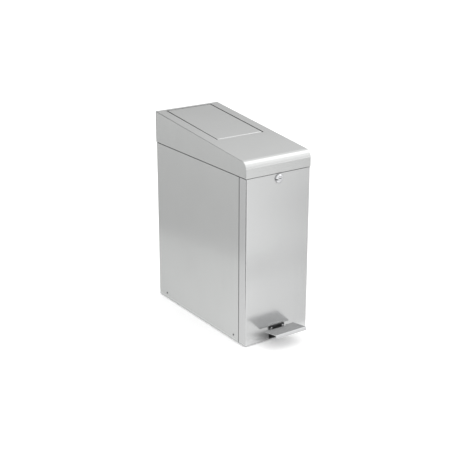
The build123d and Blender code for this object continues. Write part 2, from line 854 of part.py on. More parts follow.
def ear_rivets():
    """Rivets of the bail's ears, with their heads inside the container."""
    found = []
    for wall, inward in end_walls():
        seat = wall + inward * ear_sheet
        for x, z in ear_rivet_places():
            found.append(rivet((x, seat, z), (0, inward, 0), ear_sheet + container_sheet))
    return found


def bail_handle():
    """Wire bail with its ends turned out through the ears, lying to the left at rest."""
    front = container_front - bail_end
    rear = container_rear + bail_end
    near = container_front + container_sheet + ear_sheet + bail_offset
    far = container_rear - container_sheet - ear_sheet - bail_offset
    points = [(0, front, bail_z), (0, near, bail_z), (-bail_arm, near, bail_z), (-bail_arm, far, bail_z),
              (0, far, bail_z), (0, rear, bail_z)]
    pivot_bend = bail_offset - bail_radius
    path = FilletPolyline(*points, radius=[pivot_bend, bail_bend, bail_bend, pivot_bend])
    start = Plane(origin=path @ 0, z_dir=path % 0)
    return sweep(start * Circle(bail_radius), path=path)


def hood_outline(inset, bottom):
    """Side view of the hood: upright front, rounded nose, sloping top and upright rear."""
    lift = inset / math.cos(slope)
    near, far = front_y + inset, rear_y - inset
    near_top = hood_front_height - lift + inset * math.tan(slope)
    far_top = hood_rear_height - lift - inset * math.tan(slope)
    shape = make_face(Polyline((near, bottom), (near, near_top), (far, far_top), (far, bottom), close=True))
    nose = shape.vertices().sort_by_distance(Vector(near, near_top))[0]
    shape = fillet(nose, nose_radius - inset)
    if fold_radius <= inset:
        return shape
    rear = shape.vertices().sort_by_distance(Vector(far, far_top))[0]
    return fillet(rear, fold_radius - inset)


def hood_slab(inset, bottom, low_x, high_x):
    """The hood's side view as a solid between two X values."""
    return Pos(low_x, 0, 0) * extrude(side_view * hood_outline(inset, bottom), high_x - low_x)


def hood_shell():
    """Front, rounded nose, sloping top and back of the hood in one sheet, with the lid's opening."""
    body = hood_slab(0, hood_bottom, -half_width, half_width)
    body -= hood_slab(sheet, hood_bottom - overrun, -half_width - overrun, half_width + overrun)
    reach = half_width - flange_width - sheet
    body += block((-reach, reach), (front_y, front_y + flange_width), (hood_bottom, hood_bottom + sheet))
    body += block((-reach, reach), (rear_y - flange_width, rear_y), (hood_bottom, hood_bottom + sheet))
    body -= hood_top.location * opening_cut(0)
    for x, z in hinge_rivet_places(1):
        body -= rivet_hole((x, rear_y, z), (0, 1, 0), sheet)
    return body


def opening_cut(grow):
    """The lid's opening as a solid in the plane of the hood's top, grown on three sides."""
    side = lid_width / 2 + lid_gap + grow
    front = -(lid_rear_margin + lid_length + lid_gap + grow)
    rear = -(lid_rear_margin - lid_gap)
    return block((-side, side), (front, rear), (-frame_depth - overrun, overrun))


def hood_cheek():
    """Right cheek of the hood: a plate with a flange turned in all round."""
    inset = sheet + weld_gap
    flange_edge = half_width - flange_width
    plate = hood_slab(inset, hood_bottom, flange_edge, half_width)
    return plate - hood_slab(inset + sheet, hood_bottom + sheet, flange_edge - overrun, inner_half)


def lid_opening_frame():
    """Angle frame under the hood's top: side lips that hold the lid's pin, and a ledge under its front."""
    lip = lid_width / 2 + lid_gap
    opening_front = -(lid_rear_margin + lid_length + lid_gap)
    rear = -(lid_rear_margin - lid_gap) + frame_rear_cover
    side = block((lip, lip + sheet), (opening_front - sheet, rear), (-sheet - frame_depth, -sheet))
    side += block((lip, lip + frame_flange), (opening_front - frame_flange, rear), (-2 * sheet, -sheet))
    body = block((-lip - sheet, lip + sheet), (opening_front - sheet, opening_front),
                 (-sheet - frame_depth, -sheet))
    body += block((-lip - frame_flange, lip + frame_flange), (opening_front - frame_flange, opening_front),
                  (-2 * sheet, -sheet))
    body += block((-lip, lip), (opening_front, opening_front + ledge_width),
                  (-sheet - frame_depth, -frame_depth))
    for piece in both_sides(side):
        body += piece
    reach = lip + overrun
    body -= bar((-reach, lid_axis_y, -lid_axis_depth), (reach, lid_axis_y, -lid_axis_depth),
                lid_pin_radius + fit_gap)
    return hood_top.location * body


def lid_buffers():
    """Rubber discs on the ledge, under the lid's front flange."""
    found = []
    y = -(lid_rear_margin + lid_length) + lid_buffer_inset - lid_gap
    for x in (-lid_buffer_spacing / 2, lid_buffer_spacing / 2):
        found.append(hood_top.location * bar((x, y, -frame_depth), (x, y, -lid_flange - seat_gap),
                                             lid_buffer_radius))
    return found


def lid_panel():
    """Flap with turned-down sides and front, and a rounded front fold."""
    half = lid_width / 2
    front, rear = -(lid_rear_margin + lid_length), -lid_rear_margin
    outer = block((-half, half), (front, rear), (-lid_flange, 0))
    outer = lid_folds(outer, front, 0, lid_front_fold, lid_side_fold)
    inner = block((-half + sheet, half - sheet), (front + sheet, rear + overrun),
                  (-lid_flange - overrun, -sheet))
    inner = lid_folds(inner, front + sheet, -sheet, lid_front_fold - sheet, lid_side_fold - sheet)
    body = outer - inner
    body -= bar((-lid_width, lid_axis_y, -lid_axis_depth), (lid_width, lid_axis_y, -lid_axis_depth),
                lid_pin_radius + running_gap + lid_bush_wall + fit_gap)
    return hood_top.location * body


def lid_folds(shape, front, top, front_radius, side_radius):
    """Round the front fold, then the two side folds, of the lid or of its hollow."""
    nose = shape.edges().filter_by(Axis.X).sort_by_distance(Vector(0, front, top))[0]
    shape = fillet(nose, front_radius)
    sides = [edge for edge in shape.edges().filter_by(Axis.Y) if abs((edge @ 0.5).Z - top) < fit_gap]
    return fillet(sides, side_radius)


def lid_stiffener():
    """Shallow hat section spot-welded under the lid."""
    half = stiffener_width / 2
    front = -(lid_rear_margin + lid_length - stiffener_margin)
    rear = -(lid_rear_margin + stiffener_start)
    low = -sheet - stiffener_depth
    body = block((-half, half), (front, rear), (low, -sheet))
    body -= block((-half + sheet, half - sheet), (front - overrun, rear + overrun), (low + sheet, 0))
    for flange in both_sides(block((half, half + stiffener_depth), (front, rear), (-2 * sheet, -sheet))):
        body += flange
    return hood_top.location * body


def lid_bushes():
    """Flanged bushes in the lid's side flanges."""
    half = lid_width / 2
    centre = (lid_axis_y, -lid_axis_depth)
    body = bar((half - sheet, *centre), (half, *centre), lid_pin_radius + running_gap + lid_bush_wall)
    body += bar((half, *centre), (half + lid_bush_flange, *centre), lid_bush_flange_radius)
    body -= bar((0, *centre), (lid_width, *centre), lid_pin_radius + running_gap)
    return [hood_top.location * bush for bush in both_sides(body)]


def lid_pin():
    """Pin across the opening frame on which the lid turns, grooved near both ends."""
    lip = lid_width / 2 + lid_gap + sheet
    end = lip + lid_ring_thickness + 2 * fit_gap + lid_pin_end
    centre = (lid_axis_y, -lid_axis_depth)
    body = bar((-end, *centre), (end, *centre), lid_pin_radius)
    core = bar((-end, *centre), (end, *centre), lid_pin_radius - lid_ring_thickness)
    groove = bar((lip, *centre), (lip + lid_ring_thickness + 2 * fit_gap, *centre), lid_pin_radius + overrun)
    for cut in both_sides(groove):
        body -= cut
    return hood_top.location * (body + core)


def lid_pin_rings():
    """Rings in the pin's grooves, outside the frame's lips."""
    seat = (lid_width / 2 + lid_gap + sheet + fit_gap, lid_axis_y, -lid_axis_depth)
    ring = retaining_ring(seat, lid_pin_radius, lid_ring_thickness, lid_ring_width)
    return [hood_top.location * piece for piece in both_sides(ring)]


def lid_crank():
    """Two ears on a foot under the lid that hold the crank pin over the rod's cap."""
    pin = hood_top.to_local_coords(Vector(0, crank_pin_y, crank_pin_z))
    half = crank_gap / 2
    rear, front = pin.Y + crank_edge, pin.Y - crank_edge
    foot = block((-half - crank_foot, half + crank_foot), (front, rear), (-2 * sheet, -sheet))
    ear = block((half, half + crank_sheet), (front, rear), (pin.Z, -sheet))
    ear += bar((half, pin.Y, pin.Z), (half + crank_sheet, pin.Y, pin.Z), crank_edge)
    body = foot
    for piece in both_sides(ear):
        body += piece
    body -= bar((-half - crank_foot, pin.Y, pin.Z), (half + crank_foot, pin.Y, pin.Z),
                crank_pin_radius + fit_gap)
    return hood_top.location * body


def crank_pin():
    """Smooth pin across the crank's ears, which the rod's cap lifts."""
    reach = crank_gap / 2 + crank_sheet
    body = bar_x(-reach, reach, crank_pin_y, crank_pin_z, crank_pin_radius)
    end = bar_x(reach, reach + crank_pin_end, crank_pin_y, crank_pin_z, crank_pin_radius + crank_pin_end)
    for piece in both_sides(end):
        body += piece
    return body


def knuckle_spans(centre, middle):
    """X spans of a hinge's knuckles: its middle one, or its outer two."""
    half = hinge_width / 2
    inner = half * hinge_middle_share
    if middle:
        return [(centre - inner + hinge_side_gap, centre + inner - hinge_side_gap)]
    return [(centre - half, centre - inner), (centre + inner, centre + half)]


def hinge_leaves(up):
    """Leaves of the two rear hinges: on the casing (up = -1, outer knuckles) or the hood (up = 1, middle)."""
    found = []
    for centre in (-hinge_spacing / 2, hinge_spacing / 2):
        edge = seam_height + up * (seam_gap / 2)
        tip = seam_height + up * hinge_leaf_height
        plate = (rear_y, rear_y + hinge_leaf)
        body = block((centre - hinge_width / 2, centre + hinge_width / 2), plate, sorted((edge, tip)))
        axis = (hinge_pin_y, seam_height)
        neck = sorted((edge, seam_height + up * knuckle_radius))
        for left, right in knuckle_spans(centre, up > 0):
            body += bar_x(left, right, *axis, knuckle_radius)
            body += block((left, right), (rear_y, hinge_pin_y), neck)
        for left, right in knuckle_spans(centre, up < 0):
            body -= bar_x(left - hinge_side_gap, right + hinge_side_gap, *axis, knuckle_radius + hinge_clear)
        body -= bar_x(centre - hinge_width, centre + hinge_width, *axis, hinge_pin_radius + running_gap)
        for x, z in hinge_rivet_places(up):
            body -= rivet_hole((x, rear_y, z), (0, 1, 0), sheet)
        found.append(body)
    return found


def hinge_pins():
    """Pins of the two rear hinges."""
    half = hinge_width / 2
    return [bar_x(centre - half, centre + half, hinge_pin_y, seam_height, hinge_pin_radius)
            for centre in (-hinge_spacing / 2, hinge_spacing / 2)]


def hinge_rivets(up):
    """Rivets of one side of the rear hinges."""
    grip = hinge_leaf + sheet
    return [rivet((x, rear_y + hinge_leaf, z), (0, 1, 0), grip) for x, z in hinge_rivet_places(up)]


def hood_buffers():
    """Rubber discs on the casing's side flanges, under the hood's own."""
    found = []
    x = half_width - flange_width / 2
    for y in (front_y + buffer_front_inset, rear_y - buffer_rear_inset):
        found += both_sides(bar((x, y, case_top), (x, y, hood_bottom - seat_gap), buffer_radius))
    return found


def lock_housing():
    """Round bezel and barrel through the front panel."""
    head = bar((0, front_y, lock_z), (0, front_y - lock_head_height, lock_z), lock_head_radius)
    rim = head.edges().filter_by(GeomType.CIRCLE).sort_by(Axis.Y)[0]
    head = chamfer(rim, lock_head_chamfer)
    body = head + bar((0, front_y, lock_z), (0, inner_front + lock_barrel_length, lock_z), lock_barrel_radius)
    return body - bar((0, front_y - lock_head_height, lock_z), (0, inner_front + lock_barrel_length, lock_z),
                      lock_core_radius)


def lock_nut():
    """Nut that clamps the lock behind the front panel."""
    place = Plane(origin=(0, inner_front, lock_z), x_dir=(1, 0, 0), z_dir=(0, 1, 0))
    return place.location * hex_nut((0, 0, 0), lock_nut_size, lock_nut_height, lock_barrel_radius + fit_gap)


def lock_core():
    """Turning core with its keyway, reaching back to the cam."""
    face = front_y - lock_head_height + lock_core_recess
    body = bar((0, face, lock_z), (0, cam_face_y, lock_z), lock_core_radius - running_gap)
    body -= block((-keyway_length / 2, keyway_length / 2), (face - overrun, face + keyway_depth),
                  (lock_z - keyway_width / 2, lock_z + keyway_width / 2))
    return body - bar((0, cam_face_y - cam_screw_depth, lock_z), (0, cam_face_y, lock_z),
                      cam_screw_radius + fit_gap)


def lock_cam():
    """Cam on the core's end, pointing up when the lock is open."""
    y_span = (cam_face_y, cam_face_y + cam_sheet)
    body = block((-cam_width / 2, cam_width / 2), y_span, (lock_z, lock_z + cam_length))
    body = fillet(body.edges().filter_by(Axis.Y).sort_by(Axis.Z)[-2:], cam_width / 4)
    body += bar_y(*y_span, 0, lock_z, cam_width / 2)
    return body - bar_y(*y_span, 0, lock_z, cam_screw_radius + fit_gap)


def cam_screw():
    """Screw that holds the cam on the core."""
    seat = cam_face_y + cam_sheet
    tip = (0, seat + cam_screw_head_height, lock_z)
    body = dome((0, seat, lock_z), (0, 1, 0), cam_screw_head_radius, cam_screw_head_height)
    body += bar((0, seat, lock_z), (0, cam_face_y - cam_screw_depth, lock_z), cam_screw_radius)
    return body - recess(tip, (0, 1, 0), (1, 0, 0), 2 * cam_screw_head_radius)


def keeper_span():
    """X span of the keeper's shank, beyond the turned cam's tip."""
    corner = math.hypot(cam_length, cam_width / 2)
    return (corner + keeper_side_gap, corner + keeper_side_gap + keeper_width)


def keeper_levels():
    """Bottom and top of the keeper's pad inside the hood's front."""
    low = hood_bottom + sheet + keeper_shelf_rise
    return low, low + keeper_pad_height


def lock_keeper():
    """Hook welded inside the hood's front, hanging behind the panel: the turned cam holds its leg down."""
    span = keeper_span()
    middle = (span[0] + span[1]) / 2
    low, high = keeper_levels()
    back = cam_face_y + cam_sheet
    body = block((middle - keeper_pad_width / 2, middle + keeper_pad_width / 2),
                 (inner_front, inner_front + keeper_sheet), (low, high))
    body += block(span, (inner_front, back), (low, low + keeper_sheet))
    leg_top = lock_z - cam_width / 2 - keeper_leg_gap
    leg_bottom = leg_top - keeper_leg_height
    body += block(span, (back - keeper_sheet, back), (leg_bottom, low + keeper_sheet))
    body += block((cam_length * (1 - keeper_leg_share), span[1]), (back - keeper_sheet, back),
                  (leg_bottom, leg_top))
    return body


# Casing
save("casing_wrap", casing_wrap())
save("front_panel", front_panel())
save("base_plate", base_plate())
save("side_rivets", *side_rivets())
save("rubber_feet", *rubber_feet())
save("container_platform", container_platform())
save("pivot_bracket", pivot_bracket())
save("bracket_rivets", *bracket_rivets())
save("pedal_axle", pedal_axle())
save("axle_ring", axle_ring())
save("rod_guides", *rod_guides())
save("guide_bushes", *guide_bushes())
save("guide_rivets", *guide_rivets())
save("buffer_strip", buffer_strip())
save("strip_screws", *strip_screws())
save("lock_housing", lock_housing())
save("lock_nut", lock_nut())
save("hood_buffers", *hood_buffers())
save("casing_hinge_leaves", *hinge_leaves(-1))
save("casing_hinge_rivets", *hinge_rivets(-1))
save("hinge_pins", *hinge_pins())

# Pedal
save("pedal_plate", pedal_plate())
save("pedal_lever", pedal_lever())
save("lever_bushes", *lever_bushes())
save("neck_screws", *neck_screws())
save("neck_nuts", *neck_nuts())

# Push rod
save("push_rod", push_rod())
save("rod_foot", rod_foot())
save("rod_cap", rod_cap())

# Hood
save("hood_shell", hood_shell())
right_cheek = hood_cheek()
save("hood_cheek_right", right_cheek)
save("hood_cheek_left", mirror(right_cheek, about=Plane.YZ))
save("lid_opening_frame", lid_opening_frame())
save("lid_buffers", *lid_buffers())
save("lid_pin", lid_pin())
save("lid_pin_rings", *lid_pin_rings())
save("hood_hinge_leaves", *hinge_leaves(1))
save("hood_hinge_rivets", *hinge_rivets(1))
save("lock_keeper", lock_keeper())

# Lid
save("lid_panel", lid_panel())
save("lid_stiffener", lid_stiffener())
save("lid_bushes", *lid_bushes())
save("lid_crank", lid_crank())
save("crank_pin", crank_pin())

# Lock
save("lock_core", lock_core())
save("lock_cam", lock_cam())
save("cam_screw", cam_screw())

# Container and bail
save("waste_container", waste_container())
save("bail_ears", *bail_ears())
save("ear_rivets", *ear_rivets())
save("bail_handle", bail_handle())

places = {
    "lid axis": lid_axis,
    "pedal pivot": pivot,
    "hood hinge": Vector(0, hinge_pin_y, seam_height),
    "lock axis": Vector(0, front_y, lock_z),
    "bail axis": Vector(0, container_front, bail_z),
}
for name, point in places.items():
    print(name, [round(value, 3) for value in (point.X, point.Y, point.Z)])
print("rod travel", round(rod_travel, 3), "rod y", round(rod_y, 3), "crank radius", round(crank_radius, 3))
print("front", round(front_y, 3), "rear", round(rear_y, 3), "outline depth", round(outline_depth, 3))
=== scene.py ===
"""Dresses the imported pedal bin: folded stainless shells, lock, pedal, finishes, soft studio and camera.

Metres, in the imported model's own frame: +Z up, the front faces -Y and the left side -X.
"""

import json
import logging
import math
from collections.abc import Callable
from dataclasses import dataclass
from enum import Enum

import bmesh
import bpy
from mathutils import Matrix, Vector

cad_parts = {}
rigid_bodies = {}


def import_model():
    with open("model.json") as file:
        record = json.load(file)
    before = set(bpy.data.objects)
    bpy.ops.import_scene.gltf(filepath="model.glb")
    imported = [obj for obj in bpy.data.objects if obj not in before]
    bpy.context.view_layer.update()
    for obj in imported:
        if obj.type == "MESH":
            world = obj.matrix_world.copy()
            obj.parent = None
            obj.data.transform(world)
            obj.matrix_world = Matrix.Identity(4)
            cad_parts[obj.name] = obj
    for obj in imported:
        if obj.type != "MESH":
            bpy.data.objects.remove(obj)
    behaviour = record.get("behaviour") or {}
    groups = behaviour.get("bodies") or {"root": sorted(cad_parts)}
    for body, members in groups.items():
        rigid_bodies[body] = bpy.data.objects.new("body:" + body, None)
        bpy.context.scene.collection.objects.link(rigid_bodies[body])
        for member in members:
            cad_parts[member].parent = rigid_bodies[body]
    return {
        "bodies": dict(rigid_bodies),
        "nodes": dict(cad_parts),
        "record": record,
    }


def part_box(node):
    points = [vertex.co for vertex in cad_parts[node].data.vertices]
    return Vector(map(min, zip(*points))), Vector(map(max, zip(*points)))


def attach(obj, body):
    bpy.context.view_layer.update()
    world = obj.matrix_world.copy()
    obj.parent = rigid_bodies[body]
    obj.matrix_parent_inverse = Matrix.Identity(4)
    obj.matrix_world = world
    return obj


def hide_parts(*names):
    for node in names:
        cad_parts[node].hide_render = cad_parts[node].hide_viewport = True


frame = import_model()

LOG = logging.getLogger("sanitary_bin")
MM = 0.001
TINY = 0.02 * MM
FACING = 0.6
STRAIGHT_ON = 0.99
SAME_PLANE = 0.9999
FLAT_JOIN = math.radians(0.2)
FOLD_ANGLE = 1.0
EDGE_STEPS = 2
EDGE_ANGLE = math.radians(38)
FLAT_WEIGHT = 60
WHITE = (1.0, 1.0, 1.0, 1.0)
ROUND = ((0, 0), (1, 0), (1, 1), (0, 1))

Colour = tuple[float, float, float]
Point = tuple[float, float, float]
Glows = tuple[float, float, float, float]
Face = bmesh.types.BMFace
Edge = bmesh.types.BMEdge
FaceTest = Callable[[Face], bool]


class Socket:
    """One output of a material's nodes, for Python expressions that add Math nodes."""

    def __init__(self, book: "NodeBook", output: bpy.types.NodeSocket) -> None:
        """Keep the output and the book that its next nodes go into."""
        self.book = book
        self.output = output

    def maths(self, operation: str, first: "Socket | float", second: "Socket | float") -> "Socket":
        """Add one Math node that works on two values."""
        return self.book.node("ShaderNodeMath", {"operation": operation}, {0: first, 1: second})

    def __add__(self, other: "Socket | float") -> "Socket":
        """Sum."""
        return self.maths("ADD", self, other)

    def __radd__(self, other: float) -> "Socket":
        """Sum with a number on the left."""
        return self.maths("ADD", other, self)

    def __sub__(self, other: "Socket | float") -> "Socket":
        """Difference."""
        return self.maths("SUBTRACT", self, other)

    def __rsub__(self, other: float) -> "Socket":
        """Difference from a number."""
        return self.maths("SUBTRACT", other, self)

    def __mul__(self, other: "Socket | float") -> "Socket":
        """Product."""
        return self.maths("MULTIPLY", self, other)

    def __rmul__(self, other: float) -> "Socket":
        """Product with a number on the left."""
        return self.maths("MULTIPLY", other, self)

    def least(self, other: "Socket | float") -> "Socket":
        """The smaller of the two."""
        return self.maths("MINIMUM", self, other)

    def __pow__(self, other: float) -> "Socket":
        """Power."""
        return self.maths("POWER", self, other)


class NodeBook:
    """The node tree of one material or world, with one method that adds nodes."""

    def __init__(self, tree: bpy.types.NodeTree) -> None:
        """Start from an empty tree."""
        self.tree = tree
        self.tree.nodes.clear()

    def node(self, kind: str, settings: dict[str, object] | None = None,
             inputs: dict[int | str, object] | None = None, output: int | str = 0) -> Socket:
        """Add a node, set it up and feed its sockets.

        Args:
            kind: the node's type name.
            settings: properties that are set first.
            inputs: values or sockets by the input's name or number.
            output: the output to hand back.

        Returns:
            The chosen output.
        """
        made = self.tree.nodes.new(kind)
        for name, value in (settings or {}).items():
            setattr(made, name, value)
        for name, value in (inputs or {}).items():
            if isinstance(value, Socket):
                self.tree.links.new(value.output, made.inputs[name])
            else:
                made.inputs[name].default_value = value
        return Socket(self, made.outputs[output] if len(made.outputs) else None)

    def noise(self, scale: Point, detail: float, blur: float = 0.5) -> Socket:
        """Noise on Object coordinates.

        Args:
            scale: repeats per metre along X, Y and Z.
            detail: how many finer layers it has.
            blur: how strong the finer layers are.

        Returns:
            The noise's value, around a half.
        """
        place = self.node("ShaderNodeTexCoord", output="Object")
        spread = self.node("ShaderNodeMapping", inputs={"Vector": place, "Scale": scale})
        inputs = {"Vector": spread, "Scale": 1.0, "Detail": detail, "Roughness": blur}
        return self.node("ShaderNodeTexNoise", inputs=inputs)

    def blend(self, factor: Socket | float, low: Socket | Colour, high: Socket | Colour) -> Socket:
        """Mix two colours.

        Args:
            factor: 0 gives low and 1 gives high.
            low: the first colour.
            high: the second colour.

        Returns:
            The mixed colour.
        """
        first, second = (end if isinstance(end, Socket) else (*end, 1.0) for end in (low, high))
        settings = {"data_type": "RGBA", "clamp_factor": True}
        return self.node("ShaderNodeMix", settings, {0: factor, 6: first, 7: second}, output=2)

    def crevice(self, reach: float) -> Socket:
        """How open a place is within some metres: 1 on a free face, towards 0 deep in a gap."""
        return self.node("ShaderNodeAmbientOcclusion", {"samples": 8}, {"Distance": reach}, output="AO")

    def relief(self, height: Socket, depth: float, strength: float = 1.0) -> Socket:
        """Raise and sink the surface by a pattern, to a depth in metres."""
        inputs = {"Strength": strength, "Distance": depth, "Height": height}
        return self.node("ShaderNodeBump", inputs=inputs)

    def coat(self, colour: Socket, rough: Socket | float, extra: dict[str, object]) -> Socket:
        """The surface shader, from its colour, its roughness and its other inputs by name."""
        inputs = {"Base Color": colour, "Roughness": rough, **extra}
        return self.node("ShaderNodeBsdfPrincipled", inputs=inputs)

    def show(self, surface: Socket) -> None:
        """Give the material its shader."""
        self.node("ShaderNodeOutputMaterial", inputs={"Surface": surface})


def shade(colour: Colour, factor: float) -> Colour:
    """A colour made darker or lighter by a factor."""
    return tuple(channel * factor for channel in colour)


class Grain(Enum):
    """Run of the brushing: how often the lines repeat along X, Y and Z, per metre."""

    UPRIGHT = (1900.0, 1900.0, 7.0)
    ACROSS = (7.0, 1900.0, 1900.0)
    LENGTHWISE = (1900.0, 7.0, 1900.0)


@dataclass(frozen=True)
class Finish:
    """What every finish has: a name, a tint and a way to build its material."""

    name: str
    tint: Colour

    def build(self) -> bpy.types.Material:
        """Make the material.

        Returns:
            The material.
        """
        material = bpy.data.materials.new(self.name)
        material.use_nodes = True
        book = NodeBook(material.node_tree)
        book.show(self.surface(book))
        return material

    def surface(self, book: NodeBook) -> Socket:
        """Build the shader, which each finish does in its own way."""
        raise NotImplementedError


@dataclass(frozen=True)
class BrushedSteel(Finish):
    """Stainless sheet with brushing lines, broader streaks, faint handling marks, and painted shade in its
    crevices.

    A piece can also get painted shade on the faces that look up.
    """

    roughness: float = 0.2
    grain: Grain = Grain.UPRIGHT
    groove: float = 0.004 * MM
    streak: float = 0.05
    streak_breadth: float = 14.0
    cloud: float = 0.04
    cloud_rate: Point = (7.0, 7.0, 7.0)
    smear_rate: Point = (38.0, 38.0, 21.0)
    crevice_shade_strength: float = 1.0
    crevice_shade_reach: float = 5 * MM
    crevice_shade_tone: float = 0.06
    top_shade_strength: float = 0.0
    top_shade_tone: float = 0.1

    def surface(self, book: NodeBook) -> Socket:
        """Build the shader.

        Args:
            book: the material's nodes.

        Returns:
            The shader's output.
        """
        lines = book.noise(self.grain.value, 2.0)
        streaks = book.noise(tuple(rate / self.streak_breadth for rate in self.grain.value), 3.0, 0.6)
        clouds = book.noise(self.cloud_rate, 4.0, 0.55)
        smears = book.noise(self.smear_rate, 2.0, 0.7)
        brushed = book.blend(streaks * 0.7 + lines * 0.3, shade(self.tint, 1 - self.streak),
                             shade(self.tint, 1 + self.streak))
        handled = book.blend(clouds * 2 - 0.5, shade(self.tint, 1 - self.cloud),
                             shade(self.tint, 1 + self.cloud))
        sheet_colour = book.blend(0.5, brushed, handled)
        # Painted shade: faces that look up are darkened, most where they are flat on top.
        if self.top_shade_strength:
            facing = book.node("ShaderNodeNewGeometry", output="True Normal")
            upward = book.node("ShaderNodeSeparateXYZ", inputs={"Vector": facing}, output="Z")
            top_shade_mask = (upward ** 6) * self.top_shade_strength * (0.8 + streaks * 0.4)
            sheet_colour = book.blend(top_shade_mask, sheet_colour, shade(self.tint, self.top_shade_tone))
        # Painted shade: crevices, seams and gaps are darkened by how closed in they are.
        open_place = book.crevice(self.crevice_shade_reach)
        crevice_shaded = book.blend((1 - open_place) ** 1.1 * self.crevice_shade_strength, sheet_colour, shade(self.tint, self.crevice_shade_tone))
        rough = self.roughness + (lines - 0.5) * 0.10 + (smears - 0.5) * 0.06 + (1 - open_place) * 0.25
        relief = book.relief(lines, self.groove)
        return book.coat(crevice_shaded, rough, {"Metallic": 1.0, "Normal": relief})


@dataclass(frozen=True)
class ZincCoat(Finish):
    """Hot-dipped zinc with its spangle of flat crystals."""

    roughness: float = 0.38
    crystal_rate: float = 95.0
    warp_rate: float = 60.0
    warp: float = 6 * MM
    crystal_depth: float = 0.01 * MM
    dust_rate: Point = (14.0, 14.0, 9.0)
    crevice_shade_reach: float = 9 * MM

    def surface(self, book: NodeBook) -> Socket:
        """Build the shader.

        Args:
            book: the material's nodes.

        Returns:
            The shader's output.
        """
        place = book.node("ShaderNodeTexCoord", output="Object")
        waves = book.node("ShaderNodeTexNoise", inputs={"Vector": place, "Scale": self.warp_rate},
                          output="Color")
        push = book.node("ShaderNodeVectorMath", {"operation": "SCALE"}, {0: waves, "Scale": self.warp})
        bent = book.node("ShaderNodeVectorMath", {"operation": "ADD"}, {0: place, 1: push})
        crystals = book.node("ShaderNodeTexVoronoi", inputs={"Vector": bent, "Scale": self.crystal_rate},
                             output="Color")
        tone = book.node("ShaderNodeSeparateColor", inputs={"Color": crystals})
        dust = book.noise(self.dust_rate, 5.0, 0.6)
        colour = book.blend(tone * 0.6 + dust * 0.4, shade(self.tint, 0.72), shade(self.tint, 1.16))
        # Painted shade: the zinc is darkened in its crevices and gaps.
        zinc_crevice_shaded = book.blend((1 - book.crevice(self.crevice_shade_reach)) * 0.7, colour, shade(self.tint, 0.3))
        rough = self.roughness + (tone - 0.5) * 0.22 + (dust - 0.5) * 0.1
        relief = book.relief(tone, self.crystal_depth, 0.5)
        return book.coat(zinc_crevice_shaded, rough, {"Metallic": 0.9, "Normal": relief})


@dataclass(frozen=True)
class Plated(Finish):
    """Bright plated or turned metal with fine scratches, used for the lock and for fasteners."""

    roughness: float = 0.08
    scratch: float = 0.002 * MM
    scratch_rate: Point = (900.0, 260.0, 1400.0)
    mark_rate: Point = (120.0, 120.0, 120.0)
    crevice_shade_reach: float = 2.5 * MM

    def surface(self, book: NodeBook) -> Socket:
        """Build the shader.

        Args:
            book: the material's nodes.

        Returns:
            The shader's output.
        """
        scratches = book.noise(self.scratch_rate, 3.0, 0.6)
        marks = book.noise(self.mark_rate, 4.0, 0.6)
        colour = book.blend(marks, shade(self.tint, 0.93), shade(self.tint, 1.05))
        # Painted shade: gaps such as the keyway are darkened nearly to black.
        crevice_shaded = book.blend((1 - book.crevice(self.crevice_shade_reach)) ** 1.2, colour, shade(self.tint, 0.03))
        rough = self.roughness + (marks - 0.4) * 0.08 + (scratches - 0.5) * 0.05
        relief = book.relief(scratches, self.scratch, 0.7)
        return book.coat(crevice_shaded, rough, {"Metallic": 1.0, "Normal": relief})


@dataclass(frozen=True)
class Rubber(Finish):
    """Moulded black rubber with a fine pebble and pale rub marks."""

    pebble_rate: Point = (2300.0, 2300.0, 2300.0)
    pebble_depth: float = 0.05 * MM
    rub_rate: Point = (260.0, 260.0, 260.0)

    def surface(self, book: NodeBook) -> Socket:
        """Build the shader.

        Args:
            book: the material's nodes.

        Returns:
            The shader's output.
        """
        pebble = book.noise(self.pebble_rate, 2.0)
        rubbed = book.noise(self.rub_rate, 3.0, 0.65)
        colour = book.blend((rubbed - 0.35) * 1.4, self.tint, shade(self.tint, 2.6))
        rough = 0.5 + (rubbed - 0.5) * 0.3 + (pebble - 0.5) * 0.1
        relief = book.relief(pebble, self.pebble_depth, 0.8)
        return book.coat(colour, rough, {"Specular IOR Level": 0.4, "Normal": relief})


@dataclass(frozen=True)
class Nylon(Finish):
    """Moulded white nylon, slightly yellowed and greasy where it runs."""

    mottle_rate: Point = (180.0, 180.0, 180.0)
    mottle_depth: float = 0.03 * MM
    grease_reach: float = 3 * MM
    grease_tint: Colour = (0.30, 0.27, 0.22)

    def surface(self, book: NodeBook) -> Socket:
        """Build the shader.

        Args:
            book: the material's nodes.

        Returns:
            The shader's output.
        """
        mottle = book.noise(self.mottle_rate, 4.0, 0.6)
        colour = book.blend(mottle, self.tint, shade(self.tint, 1.1))
        used = book.blend((1 - book.crevice(self.grease_reach)) * 0.6, colour, self.grease_tint)
        rough = 0.42 + (mottle - 0.5) * 0.25
        relief = book.relief(mottle, self.mottle_depth, 0.4)
        return book.coat(used, rough, {"Subsurface Weight": 0.1, "Subsurface Scale": MM, "Normal": relief})


@dataclass(frozen=True)
class PaleFloor(Finish):
    """Plain matt paper floor of the studio, lit a little from below."""

    glow: float = 0.22
    fibre_rate: Point = (40.0, 40.0, 40.0)

    def surface(self, book: NodeBook) -> Socket:
        """Build the shader.

        Args:
            book: the material's nodes.

        Returns:
            The shader's output.
        """
        fibre = book.noise(self.fibre_rate, 4.0, 0.6)
        colour = book.blend(fibre, shade(self.tint, 0.995), self.tint)
        return book.coat(colour, 0.95, {
            "Specular IOR Level": 0.1, "Emission Color": WHITE, "Emission Strength": self.glow})


